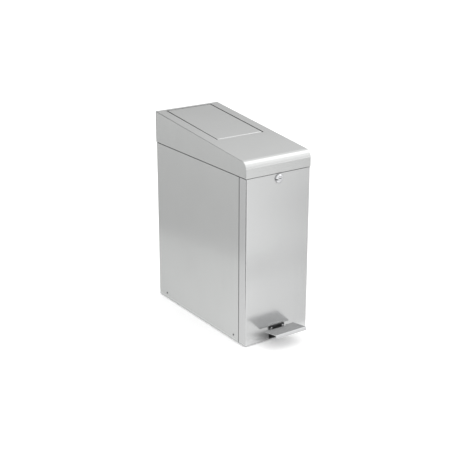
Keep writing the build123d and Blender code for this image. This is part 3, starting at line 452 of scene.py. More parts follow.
FINISHES: dict[str, Finish] = {
    "casing_steel": BrushedSteel("brushed_casing", (0.63, 0.638, 0.632), roughness=0.20),
    "front_steel": BrushedSteel("brushed_front", (0.645, 0.65, 0.65), roughness=0.21),
    # The hood gets stronger painted shade in its gaps, reaching further.
    "hood_steel": BrushedSteel("brushed_hood", (0.63, 0.636, 0.632), roughness=0.19, grain=Grain.ACROSS,
                               crevice_shade_strength=1.7, crevice_shade_reach=8 * MM),
    # The pedal gets painted shade on the faces that look up.
    "pedal_steel": BrushedSteel("brushed_pedal", (0.58, 0.585, 0.59), roughness=0.24, grain=Grain.LENGTHWISE,
                                groove=0.012 * MM, streak=0.16, top_shade_strength=0.42),
    "inner_steel": BrushedSteel("mill_sheet", (0.50, 0.51, 0.515), roughness=0.34, grain=Grain.LENGTHWISE,
                                cloud=0.12, streak=0.04),
    "hinge_steel": BrushedSteel("hinge_sheet", (0.58, 0.585, 0.58), roughness=0.27, grain=Grain.ACROSS,
                                crevice_shade_reach=2 * MM),
    "fastener_steel": Plated("turned_steel", (0.60, 0.60, 0.61), roughness=0.24, scratch=0.006 * MM),
    "galvanised_steel": ZincCoat("galvanised", (0.55, 0.57, 0.59)),
    "lock_chrome": Plated("chrome_plate", (0.74, 0.745, 0.76), roughness=0.06),
    "black_rubber": Rubber("black_rubber", (0.012, 0.012, 0.013)),
    "white_nylon": Nylon("white_nylon", (0.78, 0.77, 0.72)),
}


# The side rivets get a much darker tint than the other fasteners.
PIECE_FINISHES: dict[str, Finish] = {
    "side_rivets": Plated("dark_rivet", (0.16, 0.16, 0.165), roughness=0.35),
}


class Workshop:
    """Builds each finish once and hands out its material."""

    def __init__(self) -> None:
        """Start with nothing built."""
        self.made: dict[str, bpy.types.Material] = {}

    def material(self, slot: str, piece: str = "") -> bpy.types.Material:
        """The material of one of the record's slots, or of a piece that looks different.

        Args:
            slot: the slot's name.
            piece: the piece's name.

        Returns:
            The material.
        """
        finish = PIECE_FINISHES.get(piece, FINISHES[slot])
        if finish.name not in self.made:
            self.made[finish.name] = finish.build()
        return self.made[finish.name]


def into_scene(name: str, data: bpy.types.ID) -> bpy.types.Object:
    """Make an object of a mesh, a light or a camera.

    Args:
        name: the object's name.
        data: what it shows.

    Returns:
        The object.
    """
    thing = bpy.data.objects.new(name, data)
    bpy.context.scene.collection.objects.link(thing)
    return thing


def middle(face: Face) -> Vector:
    """The middle of a face."""
    return face.calc_center_median()


def same(first: float, second: float, wanted: float) -> bool:
    """Whether both ends of an edge are at one place."""
    return abs(first - wanted) < TINY and abs(second - wanted) < TINY


class Blank:
    """A bmesh that grows into one sheet-metal or moulded piece."""

    def __init__(self, name: str) -> None:
        """Start the empty mesh of a piece."""
        self.name = name
        self.bm = bmesh.new()

    def box(self, low: Point, high: Point) -> None:
        """Add a closed box.

        Args:
            low: its lowest corner.
            high: its highest corner.
        """
        start, end = Vector(low), Vector(high)
        size = Matrix.Diagonal((*(end - start), 1.0))
        bmesh.ops.create_cube(self.bm, size=1.0, matrix=Matrix.Translation((start + end) / 2) @ size)

    def outline(self, points: list[Point], closed: bool) -> list[Edge]:
        """Add a line of edges, and a face if the line closes.

        Args:
            points: the corners, in order.
            closed: whether the last corner joins the first.

        Returns:
            The new edges.
        """
        corners = [self.bm.verts.new(point) for point in points]
        if closed:
            return list(self.bm.faces.new(corners).edges)
        return [self.bm.edges.new(pair) for pair in zip(corners, corners[1:])]

    def edges(self, test: Callable[[Vector, Vector], bool]) -> list[Edge]:
        """The edges that a test picks by their two ends."""
        return [edge for edge in self.bm.edges if test(edge.verts[0].co, edge.verts[1].co)]

    def drop(self, test: FaceTest) -> None:
        """Delete the faces that a test picks.

        Args:
            test: takes a face.
        """
        self.bm.normal_update()
        gone = [face for face in self.bm.faces if test(face)]
        bmesh.ops.delete(self.bm, geom=gone, context="FACES")

    def cut(self, point: Point, normal: Point, test: FaceTest) -> None:
        """Split some faces by a plane.

        Args:
            point: a point of the plane.
            normal: the plane's normal.
            test: picks the faces that are split.
        """
        self.bm.normal_update()
        faces = [face for face in self.bm.faces if test(face)]
        sides = dict.fromkeys(edge for face in faces for edge in face.edges)
        corners = dict.fromkeys(vert for face in faces for vert in face.verts)
        bmesh.ops.bisect_plane(self.bm, geom=[*faces, *sides, *corners], dist=TINY / 10,
                               plane_co=point, plane_no=normal)

    def stretch(self, edges: list[Edge], offset: Point) -> list[Edge]:
        """Pull a strip of new faces out of some edges.

        Args:
            edges: where the strip starts.
            offset: how far it goes.

        Returns:
            The edges at the strip's far side.
        """
        grown = bmesh.ops.extrude_edge_only(self.bm, edges=edges)["geom"]
        corners = [part for part in grown if isinstance(part, bmesh.types.BMVert)]
        bmesh.ops.translate(self.bm, verts=corners, vec=offset)
        fresh = set(corners)
        return [part for part in grown if isinstance(part, Edge) and set(part.verts) <= fresh]

    def fold(self, edges: list[Edge], radius: float, segments: int) -> None:
        """Round the folds between faces to a radius.

        Args:
            edges: the folds.
            radius: the outer radius.
            segments: steps round each fold.
        """
        self.bm.normal_update()
        turn = edges[0].calc_face_angle()
        bmesh.ops.bevel(self.bm, geom=edges, offset=radius * math.tan(turn / 2), offset_type="OFFSET",
                        affect="EDGES", segments=segments, profile=0.5, material=-1, clamp_overlap=False)

    def round_corners(self, places: list[Point], radius: float, segments: int) -> None:
        """Round corners of flat sheet.

        Args:
            places: the corners' places.
            radius: how far from the corner the rounding starts.
            segments: steps round each corner.
        """
        corners = [min(self.bm.verts, key=lambda vert: (vert.co - Vector(place)).length) for place in places]
        bmesh.ops.bevel(self.bm, geom=corners, offset=radius, offset_type="OFFSET", affect="VERTICES",
                        segments=segments, profile=0.5, material=-1, clamp_overlap=False)

    def tidy(self) -> None:
        """Merge doubled corners and join faces that lie in one plane."""
        bmesh.ops.remove_doubles(self.bm, verts=self.bm.verts, dist=TINY / 2)
        bmesh.ops.dissolve_limit(self.bm, angle_limit=FLAT_JOIN, verts=self.bm.verts, edges=self.bm.edges)

    def place(self, matrix: Matrix) -> None:
        """Move the whole mesh."""
        bmesh.ops.transform(self.bm, matrix=matrix, verts=self.bm.verts)

    def face_out(self) -> None:
        """Turn all faces away from the middle of the mesh."""
        bmesh.ops.recalc_face_normals(self.bm, faces=self.bm.faces)
        self.bm.normal_update()
        heart = sum((vert.co for vert in self.bm.verts), Vector()) / len(self.bm.verts)
        lean = sum(face.calc_area() * face.normal.dot(middle(face) - heart) for face in self.bm.faces)
        if lean < 0:
            bmesh.ops.reverse_faces(self.bm, faces=self.bm.faces)

    def into_mesh(self) -> bpy.types.Mesh:
        """Hand the shape over to a mesh and free the bmesh.

        Returns:
            The mesh.
        """
        mesh = bpy.data.meshes.new(self.name)
        self.bm.to_mesh(mesh)
        self.bm.free()
        return mesh

    def finish(self, body: str, slot: str, workshop: Workshop, replaces: tuple[str, ...],
               wall: float = 0.0, offset: float = -1.0, edge: float = 0.2 * MM,
               outward: bool = True) -> None:
        """Turn the mesh into a piece that rides on a body.

        Args:
            body: the body that it rides on.
            slot: the record's material slot.
            workshop: where its material comes from.
            replaces: the CAD nodes that it stands for.
            wall: the sheet's thickness, or 0 for a solid piece.
            offset: -1 puts the wall inside the modelled skin and 0 half each way.
            edge: how far the sharp edges are broken.
            outward: whether the faces still have to be turned outwards.
        """
        if outward:
            self.face_out()
        for face in self.bm.faces:
            face.smooth = True
        mesh = self.into_mesh()
        mesh.materials.append(workshop.material(slot))
        piece = into_scene(self.name, mesh)
        if wall:
            shell = piece.modifiers.new("wall", "SOLIDIFY")
            shell.thickness = wall
            shell.offset = offset
            shell.use_even_offset = True
        break_edges(piece, edge)
        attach(piece, body)
        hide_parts(*replaces)
        LOG.info("%s rides on %s", self.name, body)


def break_edges(piece: bpy.types.Object, width: float) -> None:
    """Round an object's sharp edges a little, so that they catch the light, and keep its flats flat.

    Args:
        piece: the object.
        width: how far the rounding reaches.
    """
    bevel = piece.modifiers.new("broken_edges", "BEVEL")
    bevel.width = width
    bevel.segments = EDGE_STEPS
    bevel.limit_method = "ANGLE"
    bevel.angle_limit = EDGE_ANGLE
    bevel.harden_normals = True
    flats = piece.modifiers.new("flat_faces", "WEIGHTED_NORMAL")
    flats.mode = "FACE_AREA"
    flats.weight = FLAT_WEIGHT
    flats.keep_sharp = True


@dataclass
class Casing:
    """Folded sheets of the casing: front tray, and sides and back in one wrap.

    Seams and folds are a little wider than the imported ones, as wide as their dark lines in the photograph.
    """

    workshop: Workshop
    sheet: float = 1.0 * MM
    fold: float = 3.8 * MM
    lip_fold: float = 0.8 * MM
    flange: float = 12.0 * MM
    seam: float = 2.6 * MM
    lap_front: float = 14.0 * MM
    lap_rear: float = 6.0 * MM
    notch_half: float = 24.0 * MM
    notch_top: float = 29.0 * MM
    notch_corner: float = 3.0 * MM
    fold_steps: int = 6
    lip_steps: int = 3

    def build(self) -> None:
        """Make both shells."""
        self.front_tray()
        self.wrap()

    def front_tray(self) -> None:
        """Front panel with its side returns, top flange and notch."""
        low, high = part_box("front_panel")
        tray = Blank("front_tray")
        tray.box(low, high)
        tray.drop(lambda face: face.normal.z < -FACING or face.normal.y > FACING)
        tray.fold(self.upright(tray, low.y), self.fold, self.fold_steps)
        self.open_top(tray, low.y, high.z)
        for x in (-self.notch_half, self.notch_half):
            tray.cut((x, 0, 0), (1, 0, 0), self.facing_front(low.y))
        tray.cut((0, 0, self.notch_top), (0, 0, 1), self.facing_front(low.y))
        tray.drop(lambda face: self.facing_front(low.y)(face) and middle(face).z < self.notch_top
                  and abs(middle(face).x) < self.notch_half)
        tray.tidy()
        tray.round_corners([(x, low.y, self.notch_top) for x in (-self.notch_half, self.notch_half)],
                           self.notch_corner, self.fold_steps)
        tray.finish("casing", "front_steel", self.workshop, ("front_panel",), wall=self.sheet)

    def wrap(self) -> None:
        """Sides and back with the inward top flange, and the lapped strips behind the side seams."""
        low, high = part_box("casing_wrap")
        tray_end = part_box("front_panel")[1].y
        front = tray_end + self.seam
        shell = Blank("casing_shell")
        shell.box((low.x, front, low.z), high)
        shell.drop(lambda face: face.normal.z < -FACING or face.normal.y < -FACING)
        shell.fold(self.upright(shell, high.y), self.fold, self.fold_steps)
        mouth = high.x - self.flange
        for x in (-mouth, mouth):
            shell.cut((x, 0, 0), (1, 0, 0), self.facing_up)
        shell.cut((0, high.y - self.flange, 0), (0, 1, 0), self.facing_up)
        shell.drop(lambda face: self.facing_up(face) and abs(middle(face).x) < mouth
                   and middle(face).y < high.y - self.flange)
        shell.tidy()
        shell.fold(self.top_folds(shell, high.z), self.lip_fold, self.lip_steps)
        inner = high.x - self.sheet
        depths = (tray_end - self.lap_front, front + self.lap_rear)
        heights = (low.z + self.sheet, high.z - 2 * self.sheet)
        for side in (-1, 1):
            strip = [(side * inner, depths[u], heights[v]) for u, v in ROUND]
            shell.outline(strip[::side], closed=True)
        shell.face_out()
        shell.finish("casing", "casing_steel", self.workshop, ("casing_wrap",), wall=self.sheet,
                     outward=False)

    def open_top(self, tray: Blank, front: float, height: float) -> None:
        """Leave only the front strip of the tray's top and round its fold.

        Args:
            tray: the mesh.
            front: the depth of its front.
            height: the height of its top.
        """
        rear = front + self.flange
        tray.cut((0, rear, 0), (0, 1, 0), self.facing_up)
        tray.drop(lambda face: self.facing_up(face) and middle(face).y > rear)
        folds = [edge for edge in self.top_folds(tray, height)
                 if all(abs(vert.co.y - front) < TINY for vert in edge.verts)]
        tray.fold(folds, self.lip_fold, self.lip_steps)

    @staticmethod
    def top_folds(blank: Blank, height: float) -> list[Edge]:
        """The sharp edges round the top, at its height."""
        return [edge for edge in blank.edges(lambda a, b: min(a.z, b.z) > height - TINY)
                if len(edge.link_faces) == 2 and edge.calc_face_angle() > FOLD_ANGLE]

    @staticmethod
    def upright(blank: Blank, y: float) -> list[Edge]:
        """The upright edges at one depth."""
        return blank.edges(lambda a, b: abs(a.x - b.x) < TINY and same(a.y, b.y, y))

    @staticmethod
    def facing_up(face: Face) -> bool:
        """Whether a face looks up."""
        return face.normal.z > FACING

    @staticmethod
    def facing_front(y: float) -> FaceTest:
        """A test for flat faces at one depth that look to the front."""
        return lambda face: face.normal.y < -STRAIGHT_ON and abs(middle(face).y - y) < TINY


@dataclass
class Hood:
    """Sloping hood: one sheet over nose and top, two cheeks, and the flap lid set into the top."""

    workshop: Workshop
    rear_height: float = 538.0 * MM
    fall: float = 45.0 * MM
    nose: float = 20.0 * MM
    sheet: float = 1.0 * MM
    rear_fold: float = 2.0 * MM
    cheek_drop: float = 1.3 * MM
    cheek_fold: float = 1.0 * MM
    flange: float = 12.0 * MM
    lid_half: float = 70.0 * MM
    lid_length: float = 246.0 * MM
    lid_margin: float = 13.0 * MM
    lid_gap: float = 2.8 * MM
    lid_flange: float = 12.0 * MM
    lid_front_fold: float = 4.5 * MM
    lid_side_fold: float = 1.4 * MM
    nose_steps: int = 20
    rear_steps: int = 6
    cheek_steps: int = 3
    lid_front_steps: int = 8
    lid_side_steps: int = 4

    def __post_init__(self) -> None:
        """Read the hood's place from the frame."""
        low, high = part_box("hood_shell")
        self.half, self.front, self.rear, self.bottom = high.x, low.y, high.y, low.z
        self.slope = math.atan2(self.fall, self.rear - self.front)
        self.top = Matrix.Translation((0, self.rear, self.rear_height)) @ Matrix.Rotation(self.slope, 4, "X")

    def build(self) -> None:
        """Make the shell, both cheeks and the lid."""
        self.shell()
        self.cheek("right", 1)
        self.cheek("left", -1)
        self.lid()

    def side_view(self, x: float, inset: float) -> list[Point]:
        """Corners of the hood seen from the side.

        Args:
            x: the plane that they lie in.
            inset: how far inside the outer skin they are.

        Returns:
            Front bottom, front top, rear top and rear bottom.
        """
        lift = inset / math.cos(self.slope)
        near, far = self.front + inset, self.rear - inset
        near_top = self.rear_height - self.fall - lift + inset * math.tan(self.slope)
        far_top = self.rear_height - lift - inset * math.tan(self.slope)
        return [(x, near, self.bottom), (x, near, near_top), (x, far, far_top), (x, far, self.bottom)]

    def shell(self) -> None:
        """Front, rounded nose, sloping top and back in one sheet, with the lid's opening."""
        points = self.side_view(-self.half, 0.0)
        skin = Blank("hood_skin")
        folded = skin.outline(points, closed=False)
        skin.stretch(folded, (2 * self.half, 0, 0))
        skin.fold(self.across(skin, points[1]), self.nose, self.nose_steps)
        skin.fold(self.across(skin, points[2]), self.rear_fold, self.rear_steps)
        skin.face_out()
        self.cut_opening(skin)
        reach = self.half - self.flange - self.sheet
        for x in (-reach, reach):
            skin.cut((x, 0, 0), (1, 0, 0), lambda face: abs(face.normal.z) < TINY)
        bottom = self.bottom + TINY
        for y, inward in ((self.front, 1), (self.rear, -1)):
            hems = skin.edges(lambda a, b: max(a.z, b.z) < bottom and same(a.y, b.y, y)
                              and abs(a.x + b.x) < reach)
            skin.stretch(hems, (0, inward * self.flange, 0))
        skin.tidy()
        skin.finish("hood", "hood_steel", self.workshop, ("hood_shell",), wall=self.sheet)

    def cut_opening(self, skin: Blank) -> None:
        """Cut the lid's opening out of the top.

        Args:
            skin: the hood's mesh.
        """
        side = self.lid_half + self.lid_gap
        front = -(self.lid_margin + self.lid_length + self.lid_gap)
        rear = -(self.lid_margin - self.lid_gap)
        along = self.top.to_3x3() @ Vector((0, 1, 0))
        top_normal = self.top.to_3x3() @ Vector((0, 0, 1))

        def on_top(face: Face) -> bool:
            """Whether a face lies in the hood's sloping top."""
            return face.normal.dot(top_normal) > SAME_PLANE

        for x in (-side, side):
            skin.cut((x, 0, 0), (1, 0, 0), on_top)
        for y in (front, rear):
            skin.cut(self.top @ Vector((0, y, 0)), along, on_top)
        inverse = self.top.inverted()

        def inside(face: Face) -> bool:
            """Whether a face lies in the opening."""
            place = inverse @ middle(face)
            return on_top(face) and abs(place.x) < side and front < place.y < rear

        skin.drop(inside)

    @staticmethod
    def across(blank: Blank, point: Point) -> list[Edge]:
        """The edges along X through one corner of the side view."""
        return blank.edges(lambda a, b: abs(a.x - b.x) > TINY and same(a.y, b.y, point[1])
                           and same(a.z, b.z, point[2]))

    def cheek(self, name: str, side: int) -> None:
        """One cheek: a plate with a rounded nose and a flange turned in all round.

        Args:
            name: which side it is.
            side: 1 for the right and -1 for the left.
        """
        points = self.side_view(self.half, self.cheek_drop)
        plate = Blank(f"hood_cheek_{name}_plate")
        plate.outline(points, closed=True)
        start = (self.nose - self.cheek_drop) * math.tan((math.pi / 2 - self.slope) / 2)
        plate.round_corners([points[1]], start, self.nose_steps)
        rim = list(plate.bm.edges)
        plate.stretch(rim, (-self.flange, 0, 0))
        plate.fold(rim, self.cheek_fold, self.cheek_steps)
        if side < 0:
            plate.place(Matrix.Diagonal((-1, 1, 1, 1)))
        plate.finish("hood", "casing_steel", self.workshop, (f"hood_cheek_{name}",), wall=self.sheet)

    def lid(self) -> None:
        """Flap with turned-down front and sides."""
        front, rear = -(self.lid_margin + self.lid_length), -self.lid_margin
        flap = Blank("lid_flap")
        flap.box((-self.lid_half, front, -self.lid_flange), (self.lid_half, rear, 0))
        flap.drop(lambda face: face.normal.z < -FACING or face.normal.y > FACING)
        nose = flap.edges(lambda a, b: min(a.z, b.z) > -TINY and max(a.y, b.y) < front + TINY)
        flap.fold(nose, self.lid_front_fold, self.lid_front_steps)
        sides = [edge for edge in flap.bm.edges if len(edge.link_faces) == 2 and
                 {round(abs(face.normal.x)) for face in edge.link_faces} == {0, 1}]
        flap.fold(sides, self.lid_side_fold, self.lid_side_steps)
        flap.place(self.top)
        flap.finish("lid", "hood_steel", self.workshop, ("lid_panel",), wall=self.sheet)


@dataclass
class Pedal:
    """Foot plate with a folded lip, and the neck that runs in under the buffer strip.

    Pairs of sizes are how far a line is in front of the casing, and its height.
    """

    workshop: Workshop
    sheet: float = 2.0 * MM
    half: float = 48.0 * MM
    neck_half: float = 21.0 * MM
    slit: float = 2.5 * MM
    bend: float = 2.5 * MM
    corner: float = 1.5 * MM
    rear: tuple[float, float] = (9.0 * MM, 35.3 * MM)
    fold: tuple[float, float] = (61.64 * MM, 43.9 * MM)
    tip: tuple[float, float] = (65.09 * MM, 36.5 * MM)
    crest_out: float = 15.0 * MM
    neck_outer: tuple[float, float] = (5.19 * MM, 25.57 * MM)
    neck_inner: tuple[float, float] = (-44.76 * MM, 23.39 * MM)
    bend_steps: int = 6
    corner_steps: int = 4
    edge: float = 0.35 * MM

    def build(self) -> None:
        """Make the pedal."""
        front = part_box("front_panel")[0].y
        rear, fold, tip, outer, inner = (Vector((0, front - out, height)) for out, height in (
            self.rear, self.fold, self.tip, self.neck_outer, self.neck_inner))
        share = (self.crest_out - self.rear[0]) / (self.fold[0] - self.rear[0])
        crest = rear.lerp(fold, share)
        plate = Blank("pedal_foot_plate")
        shift = Vector((-self.half, 0, 0))
        folded = plate.outline([rear + shift, fold + shift, tip + shift], closed=False)
        plate.stretch(folded, (2 * self.half, 0, 0))
        corners = [point + Vector((x, 0, 0)) for point in (rear, tip) for x in (-self.half, self.half)]
        plate.round_corners(corners, self.corner, self.corner_steps)
        plate.fold(Hood.across(plate, fold), self.bend, self.bend_steps)
        gap = self.neck_half + self.slit
        for x in (-gap, -self.neck_half, self.neck_half, gap):
            plate.cut((x, 0, 0), (1, 0, 0), lambda face: middle(face).y > fold.y)
        plate.cut(crest, (0, 1, 0), lambda face: True)
        plate.drop(lambda face: middle(face).y > crest.y and abs(middle(face).x) < gap)
        start = plate.edges(lambda a, b: same(a.y, b.y, crest.y) and abs(a.x + b.x) < TINY)
        bent = plate.stretch(start, outer - crest)
        plate.stretch(bent, inner - outer)
        plate.fold(start, self.bend, self.bend_steps)
        plate.fold(Hood.across(plate, outer), self.bend, self.bend_steps)
        plate.finish("pedal", "pedal_steel", self.workshop, ("pedal_plate",), wall=self.sheet, offset=0.0,
                     edge=self.edge)


@dataclass
class BufferStrip:
    """Moulded rubber strip over the notch, with a rounded face and a shallow channel along it."""

    workshop: Workshop
    corner: float = 1.0 * MM
    corner_steps: int = 4
    channel_inset: float = 2.2 * MM
    channel_depth: float = 0.4 * MM
    edge: float = 0.15 * MM

    def build(self) -> None:
        """Make the strip."""
        low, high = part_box("buffer_strip")
        strip = Blank("buffer_strip_rubber")
        strip.box(low, high)
        outer = strip.edges(lambda a, b: max(a.y, b.y) < low.y + TINY)
        strip.fold(outer, self.corner, self.corner_steps)
        strip.bm.normal_update()
        front = [face for face in strip.bm.faces if face.normal.y < -STRAIGHT_ON]
        for inset, depth in ((self.channel_inset, 0.0), (self.channel_depth, -self.channel_depth)):
            bmesh.ops.inset_region(strip.bm, faces=front, thickness=inset, depth=depth)
        strip.finish("casing", "black_rubber", self.workshop, ("buffer_strip",), edge=self.edge)


@dataclass
class Lock:
    """Cam lock: plated bezel with its barrel, and the turning core with the keyway."""

    workshop: Workshop
    rim: float = 11.0 * MM
    rim_break: float = 0.2 * MM
    chamfer: tuple[float, float] = (3.5 * MM, 2.9 * MM)
    seat: float = 7.2 * MM
    seat_depth: float = 0.5 * MM
    barrel: float = 9.0 * MM
    bore: float = 6.2 * MM
    core: float = 5.9 * MM
    keyway_length: float = 7.5 * MM
    keyway_width: float = 1.9 * MM
    keyway_depth: float = 4.0 * MM
    bezel_edge: float = 0.12 * MM
    core_edge: float = 0.1 * MM
    steps: int = 64

    def build(self) -> None:
        """Make the bezel and the core."""
        self.bezel()
        self.core_piece()

    def spun(self, name: str, profile: list[tuple[float, float]], axis: Vector) -> Blank:
        """Spin a profile round the lock's axis.

        Args:
            name: the piece's name.
            profile: radius and depth of each corner, as a closed loop.
            axis: a point of the axis.

        Returns:
            The spun mesh.
        """
        blank = Blank(name)
        points = [(axis.x + radius, depth, axis.z) for radius, depth in profile]
        edges = blank.outline(points, closed=False)
        corners = dict.fromkeys(vert for edge in edges for vert in edge.verts)
        bmesh.ops.spin(blank.bm, geom=[*edges, *corners], cent=axis, axis=(0, 1, 0), dvec=(0, 0, 0),
                       angle=2 * math.pi, steps=self.steps, use_merge=True, use_duplicate=False)
        bmesh.ops.remove_doubles(blank.bm, verts=blank.bm.verts, dist=TINY)
        return blank

    def bezel(self) -> None:
        """Bezel with a coned rim and a recessed seat round the core."""
        low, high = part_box("lock_housing")
        axis = Vector((0, 0, (low.z + high.z) / 2))
        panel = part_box("front_panel")[0].y
        inward, back = self.chamfer
        floor = low.y + self.seat_depth
        profile = [(self.barrel, panel), (self.rim - self.rim_break, panel),
                   (self.rim, panel - self.rim_break), (self.rim, low.y + back), (self.rim - inward, low.y),
                   (self.seat, low.y), (self.seat - self.seat_depth, floor),
                   (self.bore, floor), (self.bore, high.y), (self.barrel, high.y), (self.barrel, panel)]
        blank = self.spun("lock_bezel", profile, axis)
        bmesh.ops.recalc_face_normals(blank.bm, faces=blank.bm.faces)
        blank.finish("casing", "lock_chrome", self.workshop, ("lock_housing",), edge=self.bezel_edge,
                     outward=False)

    def core_piece(self) -> None:
        """Core with a level keyway cut into its face."""
        low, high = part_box("lock_core")
        axis_z = (low.z + high.z) / 2
        plug = Blank("lock_plug")
        turn = Matrix.Translation((0, high.y, axis_z)) @ Matrix.Rotation(math.pi / 2, 4, "X")
        bmesh.ops.create_circle(plug.bm, cap_ends=True, radius=self.core, segments=self.steps, matrix=turn)
        rim = [edge for edge in plug.bm.edges if edge.is_boundary]
        plug.stretch(rim, (0, low.y - high.y, 0))
        front = [edge for edge in plug.bm.edges if edge.is_boundary]
        bmesh.ops.contextual_create(plug.bm, geom=front)
        bmesh.ops.recalc_face_normals(plug.bm, faces=plug.bm.faces)

        def on_face(face: Face) -> bool:
            """Whether a face is part of the core's front."""
            return face.normal.y < -STRAIGHT_ON

        for x in (-self.keyway_length / 2, self.keyway_length / 2):
            plug.cut((x, 0, 0), (1, 0, 0), on_face)
        for z in (-self.keyway_width / 2, self.keyway_width / 2):
            plug.cut((0, 0, axis_z + z), (0, 0, 1), on_face)
        plug.bm.normal_update()
        slot = [face for face in plug.bm.faces if on_face(face)
                and abs(middle(face).x) < self.keyway_length / 2
                and abs(middle(face).z - axis_z) < self.keyway_width / 2]
        grown = bmesh.ops.extrude_face_region(plug.bm, geom=slot)["geom"]
        corners = [part for part in grown if isinstance(part, bmesh.types.BMVert)]
        bmesh.ops.translate(plug.bm, verts=corners, vec=(0, self.keyway_depth, 0))
        bmesh.ops.delete(plug.bm, geom=slot, context="FACES")
        bmesh.ops.recalc_face_normals(plug.bm, faces=plug.bm.faces)
        plug.finish("lock", "lock_chrome", self.workshop, ("lock_core",), edge=self.core_edge, outward=False)


def flat_board(name: str, corners: tuple[Point, ...], material: bpy.types.Material) -> bpy.types.Object:
    """Lay out a flat board of the studio, with its image coordinates running from corner to corner.

    Args:
        name: its name.
        corners: its four corners, in order.
        material: its material.

    Returns:
        The board.
    """
    blank = Blank(name)
    blank.outline(list(corners), closed=True)
    mesh = blank.into_mesh()
    layer = mesh.uv_layers.new(name="board")
    for loop, place in zip(layer.data, ROUND):
        loop.uv = place
    mesh.materials.append(material)
    board = into_scene(name, mesh)
    return board


@dataclass(frozen=True)
class Card:
    """A studio card that only reflections see.

    Corners and glows run round the card, and the feather is the share of its width over which it fades out.
    """

    name: str
    corners: tuple[Point, Point, Point, Point]
    glows: Glows
    feather: float = 0.04

    def material(self) -> bpy.types.Material:
        """Glow that runs evenly between the four corners and fades out at the rim.

        Returns:
            The material.
        """
        made = bpy.data.materials.new(self.name)
        made.use_nodes = True
        book = NodeBook(made.node_tree)
        place = book.node("ShaderNodeTexCoord", output="UV")
        along = book.node("ShaderNodeSeparateXYZ", inputs={"Vector": place}, output="X")
        across = book.node("ShaderNodeSeparateXYZ", inputs={"Vector": place}, output="Y")
        near = self.glows[0] * (1 - along) + self.glows[1] * along
        far = self.glows[3] * (1 - along) + self.glows[2] * along
        tone = near * (1 - across) + far * across
        grey = book.node("ShaderNodeCombineColor", inputs={"Red": tone, "Green": tone, "Blue": tone})
        light = book.node("ShaderNodeEmission", inputs={"Color": grey})
        clear = book.node("ShaderNodeBsdfTransparent")
        rim = along.least(1 - along).least(across).least(1 - across)
        solid = book.node("ShaderNodeMapRange", {"interpolation_type": "SMOOTHSTEP"}, {
            "Value": rim, "From Min": 0.0, "From Max": self.feather})
        book.show(book.node("ShaderNodeMixShader", inputs={0: solid, 1: clear, 2: light}))
        return made

    def build(self) -> None:
        """Stand the card in the studio."""
        board = flat_board(self.name, self.corners, self.material())
        for ray in ("visible_camera", "visible_diffuse", "visible_shadow", "visible_transmission"):
            setattr(board, ray, False)


def floor_card(name: str, places: tuple[tuple[float, float], ...], glows: Glows, height: float,
               feather: float = 0.04) -> Card:
    """A card that lies at a height over the floor, from its corners in plan."""
    return Card(name, tuple((x, y, height) for x, y in places), glows, feather)


def wall_card(name: str, across: tuple[float, float], depth: float, heights: tuple[float, float],
              glows: Glows, feather: float) -> Card:
    """An upright card, square to the front, from its ends along X, its place along Y and its heights."""
    return Card(name, tuple((across[u], depth, heights[v]) for u, v in ROUND), glows, feather)


